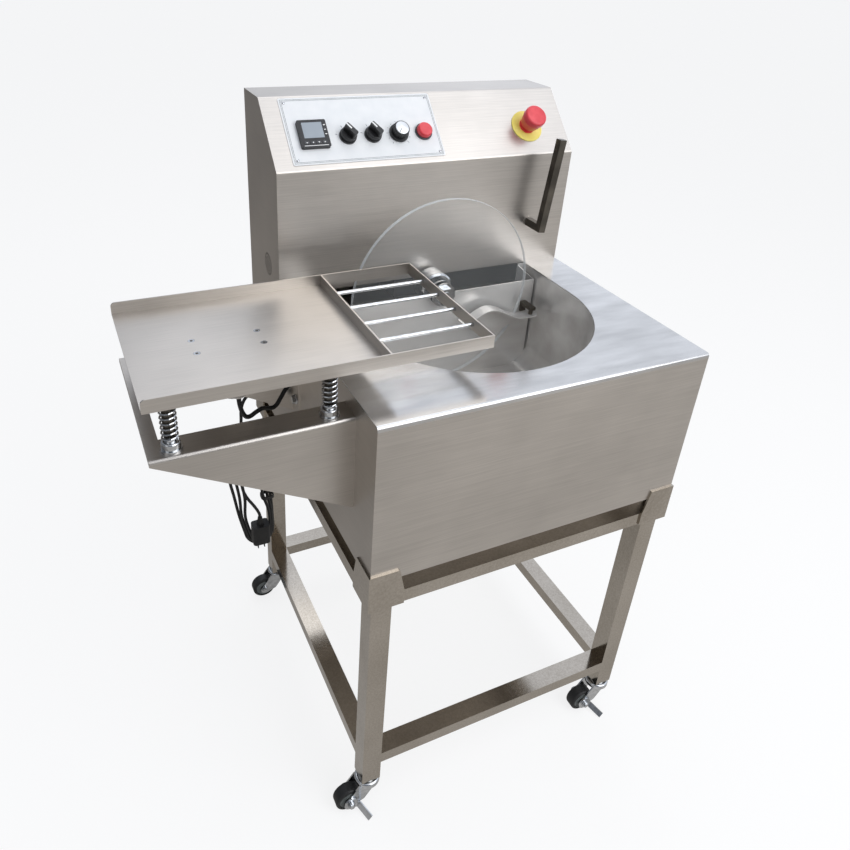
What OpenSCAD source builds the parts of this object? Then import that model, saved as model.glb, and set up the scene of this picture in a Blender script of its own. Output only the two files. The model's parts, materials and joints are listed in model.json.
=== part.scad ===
// Wheel-type chocolate melting and moulding machine on a castor stand,
// with a sprung vibrating table beside the tank.
// Millimetres, +Z up. The origin is on the floor, under the middle of the machine.

/* [Body] */
// Width of the body, left to right
body_w = 555; // [520:1:600]
// Depth of the flat top in front of the housing
top_d = 404; // [395:1:430]
// Height of the body's walls
body_h = 272; // [262:1:300]
// Thickness of the body's sheet steel
sheet = 1.5; // [1.2:0.1:2]
// Outside radius of the rolled edges
bend_r = 5; // [3:0.5:8]

/* [Housing] */
// Height of the housing's upright front
face_h = 207; // [195:1:230]
// Depth that the sloped panel covers
slope_d = 91; // [86:1:100]
// Height that the sloped panel rises
slope_h = 95; // [90:1:105]
// Depth of the housing's flat top
roof_d = 81; // [76:1:100]
// Width of the flange that the rear cover is screwed to
cover_flange = 14; // [10:1:20]
// Radius of the round air vent in the housing's left side
vent_r = 24; // [18:1:28]
// Radius of one hole in the air vent
vent_hole_r = 2; // [1.2:0.1:2.2]

/* [Tank] */
// Inside radius of the tank's round front
tank_r = 206; // [195:1:212]
// Flat metal left between the body's front and the tank
front_land = 53; // [48:1:65]
// Inside depth of the tank below the top
tank_h = 195; // [188:1:205]
// Thickness of the tank's wall
tank_t = 2; // [1.5:0.1:3]
// Radius of the tank's bottom edge
tank_edge_r = 40; // [25:1:50]
// Gap between the tank's rear wall and the housing's front
pocket_d = 45; // [43:1:50]
// Drop of the tank's rear wall below the top
wall_drop = 17; // [14:1:22]
// Thickness of the heating pad under the tank
heater_t = 6; // [4:1:10]

/* [Wheel] */
// Radius of the clear wheel
disc_r = 171; // [160:1:174]
// Thickness of the clear wheel
disc_t = 8; // [6:0.5:9]
// Height of the wheel's axle below the top
axle_drop = 11.5; // [11:0.5:14]
// Radius of the wheel's shaft
shaft_r = 10; // [8:0.5:10.5]
// Radius of the drive hub behind the tank's rear wall
hub_r = 30; // [26:1:32]

/* [Scraper] */
// Width of the scraper strip, front to back
strip_d = 23; // [18:1:26]
// Thickness of the scraper strip
strip_t = 2.5; // [2:0.1:3]
// Length of the scraper strip, left to right
strip_w = 162; // [140:1:168]

/* [Table] */
// Length of the vibrating table, left to right
tray_w = 471; // [440:1:490]
// Depth of the vibrating table, front to back
tray_d = 270; // [255:1:272]
// Height of the table's rim
rim_h = 19; // [15:1:24]
// Thickness of the table's sheet steel
tray_t = 2; // [1.5:0.1:2.5]
// Clear height from the body's top to the table's underside
table_lift = 42; // [38:1:46]
// Length of the open rod grid at the table's right end
grid_w = 157; // [145:1:170]
// Radius of a grid rod
rod_r = 3; // [2:0.5:4]
// Number of grid rods
rod_count = 4; // [3:1:5]
// Overhang of the table beyond the body's left side
table_reach = 268; // [250:1:280]

/* [Table bracket and springs] */
// Drop of the bracket's top below the body's top
bracket_drop = 28; // [24:1:34]
// Height of the bracket where it meets the body
bracket_h = 153; // [140:1:170]
// Thickness of the bracket's plate
bracket_t = 3; // [2:0.5:4]
// Width of the bracket's top flanges
flange_w = 43; // [40:1:50]
// Outside radius of a table spring
spring_r = 11; // [10:0.5:12]
// Radius of the spring wire
wire_r = 1.3; // [1:0.1:1.6]
// Number of coils in a spring
coils = 7; // [6:1:9]

/* [Vibrator] */
// Radius of the vibrator motor
vib_r = 30; // [26:1:33]
// Length of the vibrator motor
vib_l = 88; // [84:1:110]
// Screw spacing of the vibrator's foot, left to right
foot_x = 90; // [84:1:100]
// Screw spacing of the vibrator's foot, front to back
foot_y = 36; // [32:1:40]

/* [Stand] */
// Outside width of a leg's square tube
leg_w = 34; // [30:1:36]
// Wall of the stand's tubes
tube_t = 2; // [1.5:0.5:3]
// Length of a leg below the upper rails
leg_h = 437; // [400:1:480]
// Width of the upper rails
rail_w = 38; // [36:1:42]
// Height of the upper and lower rails
rail_h = 24; // [20:1:28]
// Height of the lower rails above the legs' ends
low_rail_z = 44; // [35:1:70]
// Gap between the body's bottom and the upper rails
under_gap = 29; // [22:1:36]
// Setback of the legs from the body's sides
leg_inset = 6; // [3:1:9]
// Thickness of the corner brackets
corner_t = 3; // [2:0.5:4]
// Width of a corner bracket at its foot
corner_w = 55; // [50:1:62]
// Overlap of the corner brackets on the body
corner_lap = 16; // [12:1:20]
// Taper of a corner bracket towards its top
corner_taper = 10; // [6:1:14]

/* [Castors] */
// Radius of a castor wheel
castor_r = 25; // [23:0.5:27]
// Width of a castor wheel's tread
castor_w = 22; // [18:1:24]
// Height of a whole castor
castor_h = 70; // [68:1:78]
// Trail of the wheel behind the swivel
trail = 36; // [32:1:40]
// Radius of the castor's axle
axle_r = 4; // [3.5:0.1:4.5]
// Radius of the swivel head
swivel_r = 22.5; // [20:0.5:24]

/* [Controls] */
// Width of the white control plate
plate_w = 267; // [262:1:280]
// Height of the white control plate along the slope
plate_h = 118; // [110:1:120]
// Side of the square temperature controller
ctrl_w = 48; // [46:1:50]
// Radius of a panel hole for a switch
switch_r = 11; // [10.5:0.1:11.5]
// Radius of the emergency stop's yellow ring
ring_r = 30; // [28:1:34]
// Radius of the emergency stop's head
stop_r = 20; // [18:0.5:22]
// Travel of the emergency stop
stop_travel = 5; // [4:0.5:6]
// Length of the lever's upright bar
lever_l = 166; // [150:1:180]
// Side of the lever's square bar
lever_w = 13; // [11:0.5:14]

/* [Cords] */
// Diameter of the mains cord
cord_d = 6; // [5.5:0.5:8]
// Diameter of the vibrator's cable
cable_d = 6.5; // [6:0.5:7]

/* [Hidden] */
$fn = 64;

// Clearances: a running fit, a loose gap, a sliding gap and a cut's overrun
run = 0.05;
gap = 0.3;
slide = 0.2;
over = 1;

// Colours
brushed = "#b9b5ae";
polished = "#c9c7c2";
bright = "#e4e3df";
tube_grey = "#a39c92";
chrome = "#d4d6d8";
dark = "#3a3a3c";
black = "#1c1c1e";
white = "#f2f2ee";
red = "#c8242c";
yellow = "#f0c419";
clear = "#dfe8ea";

// Body and housing
body_d = top_d + slope_d + roof_d;
house_h = face_h + slope_h;
slope_l = norm([slope_d, slope_h]);
slope_a = atan2(slope_h, slope_d);
plate_back = top_d + 50;
roll_h = bend_r + 3;
vent_at = [top_d + 61, 34];

// Tank, in the middle of the body
mid_x = body_w / 2;
tank_mid_y = front_land + tank_r;
tank_back = top_d - pocket_d;
tank_end = top_d - tank_t - 1;
pocket_front = tank_r - 5;
pocket_rear = tank_r - 25;
side_drop = 5;

// Wheel, in front of the tank's rear wall
axle_z = -axle_drop;
disc_gap = 7;
disc_back = tank_back - disc_gap;
disc_front = disc_back - disc_t;
flange_r = shaft_r + 12;
shaft_flange_t = 4;
shaft_nose = 14;
shaft_end = top_d + 75;
hub_gap = 4;
hub_l = pocket_d - tank_t - hub_gap - 5;
hub_edge = 3;
nut_t = 10;
washer_t = 3;
gear_front = top_d + 44;

// Table, above the body and past its left side
tray_x0 = -table_reach;
tray_x1 = tray_x0 + tray_w;
tray_y1 = disc_front - 8;
tray_y0 = tray_y1 - tray_d;
tray_z = table_lift;
grid_x = tray_x1 - grid_w;
grid_lip = 16;
spring_inset_y = 21;
spring_xs = [tray_x0 + 31, -31];
spring_ys = [tray_y0 + spring_inset_y, tray_y1 - spring_inset_y];

// Bracket, under the overhanging part of the table
bracket_z = -bracket_drop;
bracket_x0 = tray_x0 + 1;
bracket_y0 = tray_y0 + 2;
bracket_y1 = tray_y1;
bracket_tip_h = 8;
seat_flange_t = 3;
seat_h = 13;
pilot_h = 7;
bracket_end_w = 18;
pilot_r = spring_r - 2 * wire_r - 1;
stud_cap_t = 3;
stud_gap = 4;
spring_z0 = bracket_z + seat_h;
spring_z1 = tray_z - stud_cap_t;

// Vibrator, under the table
vib_x = -135;
vib_y = (tray_y0 + tray_y1) / 2;
vib_foot_t = 8;
vib_z = tray_z - vib_foot_t - 1 - vib_r;
vib_hole_r = 2.6;
vib_entry_h = 4;
vib_entry_gap = 1.8;
screw_head_r = 5;
screw_head_t = tray_t - 0.4;
nut_r = 4.6;
nut_h = 4;

// Stand
rail_top = -body_h - under_gap;
rail_bot = rail_top - rail_h;
leg_bot = rail_bot - leg_h;
floor_z = leg_bot - castor_h;
leg_xs = [leg_inset, body_w - leg_inset - leg_w];
leg_ys = [leg_inset, body_d - leg_inset - leg_w];
low_z = leg_bot + low_rail_z;

// Castors: the corners are front left, front right, rear left and rear right
cap_t = 3;
cap_in = 12;
king_r = 6;
king_head_r = 9;
king_head_t = 3;
crown_t = 9.7;
crown_edge = 4;
crown_top = leg_bot - cap_t - gap;
crown_bot = crown_top - crown_t;
axle_head_r = axle_r + 2.5;
axle_head_t = 4;
cheek_t = 2.5;
cheek_in = castor_w / 2 + 1;
cheek_out = cheek_in + cheek_t;
brake_t = 3;
brake_l = 18;
brake_h = 11;
brake_hub_r = 13;
brake_bend = 62;
brake_out = cheek_out + gap + brake_t;
tab_reach = 26;
tab_drop = 36;
castor_z = floor_z + castor_r;
castor_at = [for (y = leg_ys) for (x = leg_xs) [x + leg_w / 2, y + leg_w / 2]];

// Controls, measured up the slope from its lower edge
plate_x = 30;
plate_y = slope_l - plate_h - 4;
plate_t = 1;
row_y = slope_l / 2 - 11;
ctrl_x = plate_x + 43;
ctrl_y = row_y + 5;
bezel_t = 7;
ctrl_hole = ctrl_w - 3;
ctrl_depth = 58;
switch_depth = 40;
lamp_depth = 30;
spindle_l = 14;
screen_w = 34;
screen_h = 28;
screen_y = 6;
key_w = 7;
key_h = 4.5;
key_y = -16;
key_travel = 0.5;
key_xs = [for (i = [0:3]) (i - 1.5) * 10];
selector_xs = [plate_x + 101, plate_x + 145];
speed_x = plate_x + 191.5;
speed_r = 5;
speed_spindle_r = 3;
speed_nut_t = 2;
speed_depth = 20;
lamp_x = plate_x + 237.5;
stop_x = body_w - 80;
bezel_r = 14.5;
bezel_h = 4;
spindle_r = 4;
ring_t = 1.5;
collar_h = 12;
collar_r = 13;
collar_base_t = 3;
stem_r = 6;
stop_h = 27;
skirt_t = 3;
lever_x = body_w - 75;
lever_z = 82;
lever_out = 34;
lever_lean = 6;
lever_pin_r = 5;
bush_r = 8;
bush_flange_t = 2;

// Where the corner of the body's top sits in the machine's own frame
x_low = tray_x0;
x_high = body_w + corner_t;
y_low = castor_at[0].y - brake_out - tab_reach;
y_high = body_d + corner_t;
frame_x = -(x_low + x_high) / 2;
frame_y = -(y_low + y_high) / 2;
frame_z = -floor_z;

// Mains cord: the lead out of the gland, the hank and the tail down to the plug
gland_l = 30;
cord_exit = [-gland_l, 450, -205];
cord_neck_r = cord_d / 2 + 3.4;
lead_points = [
    [-30, 450, -205], [-40, 450, -206], [-50, 450, -211], [-58, 450, -220], [-63, 450, -232],
    [-65, 450, -246], [-64, 450, -262], [-63, 450, -280], [-62, 450, -298], [-61, 450, -318],
    [-60, 450, -336], [-60, 450, -358]
];
hank_mid = [-48, 450, -467];
hank_size = [82, 22, 230];
hank_lean = 6;
tail_points = [
    [-70, 440, -424], [-70, 434, -425], [-68, 428, -429], [-63, 424, -436], [-57, 423, -445],
    [-52, 423, -455], [-48, 423, -465], [-46, 423, -473], [-46, 423, -480]
];
plug_top = [-46, 423, -480];
plug_size = [34, 26, 44];
relief_l = 18;
pin_size = [1.6, 6.4, 17];
pin_gap = 12.7;

// Vibrator's cable: out of the motor's underside, down in a loop and up into the body's side
cable_points = [
    [-130, 178, -26], [-130, 177, -36], [-129, 175, -47], [-126, 175, -58], [-121, 176, -66],
    [-114, 180, -69], [-105, 184, -67], [-94, 190, -67], [-84, 195, -72], [-75, 200, -76],
    [-68, 204, -74], [-61, 208, -67], [-53, 212, -58], [-44, 215, -51], [-34, 216, -47],
    [-26, 216, -45], [-18, 216, -45]
];
cable_gland_l = 18;
cable_neck_r = cable_d / 2 + 2.9;
cable_start = cable_points[0];
cable_end = cable_points[len(cable_points) - 1];

// Unit vector along v
function unit(v) = v / norm(v);

// Points of the arc of radius r that rounds the corner p between its neighbours a and b
function corner_arc(a, p, b, r, n) =
    let (
        u = unit(a - p),
        v = unit(b - p),
        half = acos(u * v) / 2,
        c = p + unit(u + v) * r / sin(half),
        s = p + u * r / tan(half) - c,
        e = p + v * r / tan(half) - c,
        a0 = atan2(s.y, s.x),
        turn = (atan2(e.y, e.x) - a0 + 540) % 360 - 180
    )
    [for (i = [0:n]) c + r * [cos(a0 + turn * i / n), sin(a0 + turn * i / n)]];

// Outline through the points [x, y, corner radius]
function rounded(pts, n = 6) =
    let (count = len(pts), flat = [for (p = pts) [p[0], p[1]]])
    [for (i = [0:count - 1])
        each pts[i][2] > 0
            ? corner_arc(flat[(i + count - 1) % count], flat[i], flat[(i + 1) % count], pts[i][2], n)
            : [flat[i]]];

// Clockwise outline moved inwards by d
function inset(pts, d) =
    let (count = len(pts))
    [for (i = [0:count - 1])
        let (
            e1 = unit(pts[i] - pts[(i + count - 1) % count]),
            e2 = unit(pts[(i + 1) % count] - pts[i]),
            n1 = [e1.y, -e1.x],
            n2 = [e2.y, -e2.x]
        )
        pts[i] + d * (n1 + n2) / (1 + n1 * n2)];

// Direction of a route at its point i
function heading(path, i) =
    unit(path[min(i + 1, len(path) - 1)] - path[max(i - 1, 0)]);

// Triangles of a swept tube with closed ends
function tube_faces(rings, sides) = concat(
    [[for (j = [0:sides - 1]) j]],
    [[for (j = [sides - 1:-1:0]) (rings - 1) * sides + j]],
    [for (i = [0:rings - 2]) for (j = [0:sides - 1]) each
        let (a = i * sides + j, b = i * sides + (j + 1) % sides)
        [[a, a + sides, b], [b, a + sides, b + sides]]]
);

// Round tube along a route that never runs straight along Y
module tube(path, r, sides = 8) {
    points = [for (i = [0:len(path) - 1])
        let (t = heading(path, i), u = unit(cross(t, [0, 1, 0])), v = cross(t, u))
        for (j = [0:sides - 1])
            path[i] + r * (cos(360 * j / sides) * u + sin(360 * j / sides) * v)];
    polyhedron(points, tube_faces(len(path), sides));
}

// Helical spring standing on z = 0
module coil_spring(r, wire, turns, h, per_turn = 12, sides = 6) {
    steps = turns * per_turn;
    points = [for (i = [0:steps])
        let (a = 360 * i / per_turn, z = wire + (h - 2 * wire) * i / steps)
        for (j = [0:sides - 1])
            let (b = 360 * j / sides, q = r + wire * cos(b))
            [q * cos(a), q * sin(a), z + wire * sin(b)]];
    polyhedron(points, [for (f = tube_faces(steps + 1, sides)) [for (k = [len(f) - 1:-1:0]) f[k]]]);
}

// Place measured from the front left corner of the body's top
module in_body() translate([frame_x, frame_y, frame_z]) children();

// Place on the sloped panel: u from the left, v up the slope, z out of the panel
module on_panel(u, v) in_body()
    translate([0, top_d, face_h]) rotate([slope_a, 0, 0]) translate([u, v, 0]) children();

// Outline drawn in Y and Z, run along X from x over a length l
module along_x(x, l) translate([x, 0, 0]) rotate([90, 0, 90]) linear_extrude(l) children();

// Outline drawn in X and Z, run along Y from y over a length l
module along_y(y, l) translate([0, y + l, 0]) rotate([90, 0, 0]) linear_extrude(l) children();

// Cylinder along Y from y over a length l
module rod_y(x, y, z, r, l) translate([x, y, z]) rotate([-90, 0, 0]) cylinder(r = r, h = l);

// Square hollow tube along Z
module box_tube(size, l, wall) {
    difference() {
        cube([size.x, size.y, l]);
        translate([wall, wall, -over]) cube([size.x - 2 * wall, size.y - 2 * wall, l + 2 * over]);
    }
}

// Region right of and below a corner that is rounded by r
module round_corner(w, h, r) {
    translate([r, -h]) square([w - r, h]);
    translate([0, -h]) square([w, h - r]);
    translate([r, -r]) intersection() {
        circle(r);
        translate([-r, 0]) square(r);
    }
}

// Rounded plate standing on z = 0, centred
module pad(w, d, h, r) {
    linear_extrude(h) polygon(rounded([
        [-w / 2, -d / 2, r], [w / 2, -d / 2, r], [w / 2, d / 2, r], [-w / 2, d / 2, r]
    ]));
}

// Four legs of square tube
module stand_legs() color(tube_grey) in_body() {
    for (x = leg_xs, y = leg_ys) translate([x, y, leg_bot]) box_tube([leg_w, leg_w], leg_h, tube_t);
}

// Upper ring of rails on the legs and lower ring of rails between them
module stand_rails() color(tube_grey) in_body() {
    for (y = [0, body_d - rail_w]) translate([0, y, rail_bot]) rail_x(body_w, rail_w);
    for (x = [0, body_w - rail_w]) translate([x, rail_w, rail_bot]) rail_y(body_d - 2 * rail_w, rail_w);
    for (y = leg_ys) translate([leg_xs[0] + leg_w, y, low_z]) rail_x(leg_xs[1] - leg_xs[0] - leg_w, leg_w);
    for (x = leg_xs) translate([x, leg_ys[0] + leg_w, low_z]) rail_y(leg_ys[1] - leg_ys[0] - leg_w, leg_w);
}

module rail_x(l, w) rotate([90, 0, 90]) box_tube([w, rail_h], l, tube_t);

module rail_y(l, w) translate([0, l, 0]) rotate([90, 0, 0]) box_tube([w, rail_h], l, tube_t);

// Angle brackets that hold the body's corners above the rails
module corner_brackets() color(tube_grey) in_body() {
    for (mx = [0, 1], my = [0, 1])
        translate([mx * body_w, my * body_d, 0]) mirror([mx, 0, 0]) mirror([0, my, 0]) corner_bracket();
}

module corner_bracket() {
    foot = rail_bot;
    head = -body_h + corner_lap;
    outline = [
        [-corner_t, foot, 0], [corner_w, foot, 0], [corner_w, rail_top, 0],
        [corner_w - corner_taper, head, 3], [-corner_t, head, 0]
    ];
    along_y(-corner_t, corner_t) polygon(rounded(outline));
    along_x(-corner_t, corner_t) polygon(rounded(outline));
    // Corner shelf under the body
    reach = corner_w - corner_taper - 2;
    translate([0, 0, -body_h - corner_t]) linear_extrude(corner_t) polygon([[0, 0], [reach, 0], [0, reach]]);
}

// Leg end caps with the castors' king pins
module castor_mounts() color(chrome) in_body() {
    for (p = castor_at) translate([p.x, p.y, leg_bot]) {
        bore = leg_w - 2 * tube_t;
        pin_l = leg_bot - crown_bot + gap;
        translate([0, 0, -cap_t]) cylinder(r = leg_w / 2 - 1, h = cap_t);
        translate([-bore / 2, -bore / 2, 0]) cube([bore, bore, cap_in]);
        translate([0, 0, -pin_l]) cylinder(r = king_r, h = pin_l);
        translate([0, 0, -pin_l - king_head_t]) cylinder(r = king_head_r, h = king_head_t);
    }
}

// Fork with its swivel head, cheeks and axle
module castor_fork(i, braked) color(chrome) in_body() translate([castor_at[i].x, castor_at[i].y, 0]) {
    drop = crown_bot + crown_edge - castor_z;
    front = braked ? brake_out + gap : cheek_out;
    difference() {
        union() {
            translate([0, 0, crown_top]) rotate_extrude() round_profile(swivel_r, crown_t, crown_edge);
            for (y = [-cheek_out, cheek_in]) along_y(y, cheek_t) translate([0, castor_z]) polygon(rounded([
                [swivel_r - 6, drop, 0], [-swivel_r + 3, drop, 0],
                [-trail - 13, -6, 8], [-trail + 2, -13, 9], [-trail + 26, -4, 9]
            ]));
        }
        translate([0, 0, crown_bot - over]) cylinder(r = king_r + run, h = crown_t + 2 * over);
    }
    rod_y(-trail, -front - axle_head_t, castor_z, axle_head_r, axle_head_t);
    rod_y(-trail, -front - over, castor_z, axle_r, front + cheek_out + 2 * over);
    rod_y(-trail, cheek_out, castor_z, axle_head_r, axle_head_t);
}

// Half outline of a low dome: width r, height h, edge radius e, top at y = 0
module round_profile(r, h, e) {
    translate([0, -h]) square([r - e, h]);
    translate([0, -h]) square([r, h - e]);
    translate([r - e, -e]) circle(e);
}

// Tyre and hub in one, with a bore for the axle
module castor_wheel(i) color(black) in_body() translate([castor_at[i].x - trail, castor_at[i].y, castor_z])
    rotate([90, 0, 0]) rotate_extrude() {
        half = castor_w / 2;
        hub_half = cheek_in - gap;
        bore = axle_r + run;
        edge = 4;
        hub_wall = 5;
        rim = 6;
        dish = 2;
        difference() {
            union() {
                translate([bore, -half]) square([castor_r - edge - bore, castor_w]);
                translate([castor_r - edge - over, -half + edge]) square([edge + over, castor_w - 2 * edge]);
                for (y = [-half + edge, half - edge]) translate([castor_r - edge, y]) circle(edge);
            }
            // Dished side faces
            for (y = [-half - dish, half - dish]) translate([bore + hub_wall, y])
                square([castor_r - rim - bore - hub_wall, 2 * dish]);
        }
        translate([bore, -hub_half]) square([hub_wall - 1, 2 * hub_half]);
    }

// Brake lever on the axle's outer end
module castor_brake(i) color(chrome) in_body()
    translate([castor_at[i].x - trail, castor_at[i].y, castor_z]) rotate([0, tab_drop, 0]) difference() {
        union() {
            rod_y(0, -brake_out, 0, brake_hub_r, brake_t);
            translate([0, -brake_out, -brake_h / 2]) cube([brake_l, brake_t, brake_h]);
            translate([brake_l, -brake_out, -brake_h / 2]) rotate([0, 0, -brake_bend])
                translate([-brake_t / 2, 0, 0]) cube([tab_reach / sin(brake_bend) + brake_t / 2, brake_t, brake_h]);
        }
        rod_y(0, -brake_out - over, 0, axle_r + run, brake_t + 2 * over);
    }

module castor_fork_fl() castor_fork(0, true);
module castor_fork_fr() castor_fork(1, true);
module castor_fork_rl() castor_fork(2, false);
module castor_fork_rr() castor_fork(3, false);
module castor_wheel_fl() castor_wheel(0);
module castor_wheel_fr() castor_wheel(1);
module castor_wheel_rl() castor_wheel(2);
module castor_wheel_rr() castor_wheel(3);
module castor_brake_fl() castor_brake(0);
module castor_brake_fr() castor_brake(1);

// Front, side and back walls of the body
module body_shell() color(brushed) in_body() difference() {
    union() {
        translate([0, 0, -body_h]) cube([body_w, sheet, body_h - roll_h]);
        translate([0, body_d - sheet, -body_h]) cube([body_w, sheet, body_h]);
        for (x = [0, body_w - sheet]) along_x(x, sheet) polygon(rounded([
            [0, -body_h, 0], [0, -roll_h, 0], [sheet, -roll_h, 0], [sheet, -sheet, bend_r - sheet],
            [plate_back, -sheet, 0], [plate_back, 0, 0], [body_d, 0, 0], [body_d, -body_h, 0]
        ]));
    }
    translate([-over, cord_exit.y, cord_exit.z]) rotate([0, 90, 0])
        cylinder(r = cord_neck_r + slide, h = sheet + 2 * over);
    translate([-over, cable_end.y, cable_end.z]) rotate([0, 90, 0])
        cylinder(r = cable_neck_r + slide, h = sheet + 2 * over);
}

// Bottom cover of the body
module base_plate() color(brushed) in_body()
    translate([sheet, sheet, -body_h]) cube([body_w - 2 * sheet, body_d - 2 * sheet, sheet]);

// Polished top with a rolled front edge and the tank's opening
module top_plate() color(polished) in_body() difference() {
    along_x(0, body_w) difference() {
        round_corner(plate_back, roll_h, bend_r);
        translate([sheet, -sheet]) round_corner(plate_back, roll_h, bend_r - sheet);
    }
    translate([0, 0, -sheet - over]) linear_extrude(sheet + 2 * over) opening_2d(tank_r, plate_back + over);
}

// Plan of the tank's opening: round in front, straight sides, ending at y = back
module opening_2d(r, back) translate([mid_x, tank_mid_y]) {
    intersection() {
        circle(r, $fn = 160);
        translate([-r, -r]) square([2 * r, r]);
    }
    translate([-r, 0]) square([2 * r, back - tank_mid_y]);
}

// Solid of the tank's form: round front, flat back, rounded bottom edge
module bowl(r, depth, back, e, top) translate([mid_x, tank_mid_y, 0]) {
    rotate([0, 0, 180]) rotate_extrude(angle = 180, $fn = 160) bowl_2d(r, depth, e, top);
    along_y(0, back - tank_mid_y) {
        bowl_2d(r, depth, e, top);
        mirror([1, 0]) bowl_2d(r, depth, e, top);
    }
}

module bowl_2d(r, depth, e, top) {
    translate([0, -depth + e]) square([r, depth - e + top]);
    translate([0, -depth]) square([r - e, depth + top]);
    translate([r - e, -depth + e]) circle(e);
}

// Plan of the drive pocket behind the tank's rear wall, grown by the thickness of its walls
module pocket_2d(grow) {
    front = tank_back + tank_t - grow;
    polygon([
        [mid_x - pocket_front - grow, front], [mid_x + pocket_front + grow, front],
        [mid_x + pocket_rear + grow, plate_back], [mid_x - pocket_rear - grow, plate_back]
    ]);
}

// Tank around the drive pocket, with a lower rear wall that has a notch for the shaft
module tank() color(polished) in_body() difference() {
    full = tank_h + tank_t;
    bowl(tank_r + tank_t, full, tank_end + tank_t, tank_edge_r + tank_t, -sheet);
    difference() {
        bowl(tank_r, tank_h, tank_end, tank_edge_r, over);
        translate([0, 0, -full]) linear_extrude(full + 2 * over) pocket_2d(tank_t);
    }
    translate([0, 0, -full - over]) linear_extrude(full + 3 * over) pocket_2d(0);
    // Upper edge of the rear wall, rising beside the pocket
    along_x(mid_x - pocket_front - tank_t, 2 * (pocket_front + tank_t)) polygon([
        [tank_back - over, over], [tank_back - over, -wall_drop], [tank_back + tank_t, -wall_drop],
        [tank_end, -side_drop], [tank_end, over]
    ]);
    rod_y(mid_x, tank_back - over, axle_z, shaft_r + 4, tank_t + 2 * over);
}

// Heating pad under the tank
module tank_heater() color(dark) in_body() {
    flat_r = tank_r - tank_edge_r - 2;
    half = flat_r - 34;
    front = tank_mid_y - sqrt(flat_r * flat_r - half * half);
    translate([mid_x - half, front, -tank_h - tank_t - heater_t])
        cube([2 * half, tank_back - 10 - front, heater_t]);
}

// Clear wheel that lifts the chocolate
module wheel_disc() color(clear, 0.4) in_body() difference() {
    rod_y(mid_x, disc_front, axle_z, disc_r, disc_t, $fn = 160);
    rod_y(mid_x, disc_front - over, axle_z, shaft_r, disc_t + 2 * over);
}

// Shaft with its flange behind the wheel and the drive hub behind the tank's rear wall
module wheel_shaft() color(chrome) in_body() {
    rod_y(mid_x, disc_front - shaft_nose, axle_z, shaft_r, shaft_end - disc_front + shaft_nose);
    rod_y(mid_x, disc_back, axle_z, flange_r, shaft_flange_t);
    translate([mid_x, tank_back + tank_t + hub_gap, axle_z]) rotate([-90, 0, 0]) rotate_extrude() polygon([
        [0, 0], [hub_r - hub_edge, 0], [hub_r, hub_edge], [hub_r, hub_l - hub_edge],
        [hub_r - hub_edge, hub_l], [0, hub_l]
    ]);
}

// Nut that clamps the wheel on its shaft
module wheel_nut() color(chrome) in_body() difference() {
    union() {
        rod_y(mid_x, disc_front - washer_t, axle_z, flange_r, washer_t);
        translate([mid_x, disc_front - washer_t - nut_t, axle_z]) rotate([-90, 0, 0])
            cylinder(r = shaft_r + 7, h = nut_t + over, $fn = 6);
    }
    rod_y(mid_x, disc_front - washer_t - nut_t - over, axle_z, shaft_r, washer_t + nut_t + 2 * over);
}

// Height of the scraper strip's top at a distance from its left end
strip_z = -66;
strip_rise = 19;
strip_fall = 26;
strip_hump = 56;
strip_tail = strip_w - 34;
function strip_top(s) =
    s < strip_hump ? strip_z + strip_rise * (1 - cos(180 * s / strip_hump)) / 2
    : s < strip_tail ? strip_z + strip_rise
        - strip_fall * (1 - cos(180 * (s - strip_hump) / (strip_tail - strip_hump))) / 2
    : strip_z + strip_rise - strip_fall;

strip_x0 = mid_x + tank_r - 9 - strip_w;
strip_y1 = disc_front - 0.5;
strip_low = strip_z + strip_rise - strip_fall;

// S-curved scraper strip with the blade that wipes the wheel's face
module scraper() color(bright) in_body() {
    step = strip_w / 27;
    run_out = [for (s = [0:step:strip_w + 0.01]) [strip_x0 + s, strip_top(s)]];
    run_back = [for (s = [strip_w:-step:-0.01]) [strip_x0 + s, strip_top(s) - strip_t]];
    intersection() {
        along_y(strip_y1 - strip_d, strip_d) polygon(concat(run_out, run_back));
        translate([strip_x0, strip_y1 - strip_d, strip_low - 50]) linear_extrude(100) polygon(rounded([
            [0, 0, 4], [strip_w, 0, 10], [strip_w, strip_d, 6], [0, strip_d, 0]
        ]));
    }
    blade_top = [for (s = [30:6:128]) [strip_x0 + s, strip_top(s) - strip_t / 2]];
    along_y(strip_y1 - 2, 2) polygon(concat(blade_top, [
        [strip_x0 + 128, strip_low - 12], [strip_x0 + 78, strip_low - 38], [strip_x0 + 34, strip_low - 18]
    ]));
}

// Arm on the tank's rear wall that carries the scraper past the wheel's rim
arm_w = 12;
arm_t = 6;
arm_lift = 9;
arm_x = mid_x + tank_r - 16 - arm_w;
post_r = 4;
foot_h = 20;
foot_t = 4;

module scraper_holder() color(dark) in_body() {
    y = strip_y1 - strip_d + 4;
    translate([arm_x, y, strip_low + arm_lift]) cube([arm_w, tank_back - y, arm_t]);
    translate([arm_x + arm_w / 2, y + arm_w / 2, strip_low]) cylinder(r = post_r, h = arm_lift + over);
    translate([arm_x, tank_back - foot_t, strip_low + arm_lift - foot_h + arm_t]) cube([arm_w, foot_t, foot_h]);
}

// Housing outline in Y and Z, clockwise from the front's foot
house_outline = [
    [top_d, 0], [top_d, face_h], [top_d + slope_d, house_h], [body_d, house_h], [body_d, 0]
];
house_void = inset([
    [top_d, -60], [top_d, face_h], [top_d + slope_d, house_h], [body_d + 60, house_h], [body_d + 60, -60]
], sheet);

function with_radii(pts, radii) = [for (i = [0:len(pts) - 1]) [pts[i].x, pts[i].y, radii[i]]];

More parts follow.
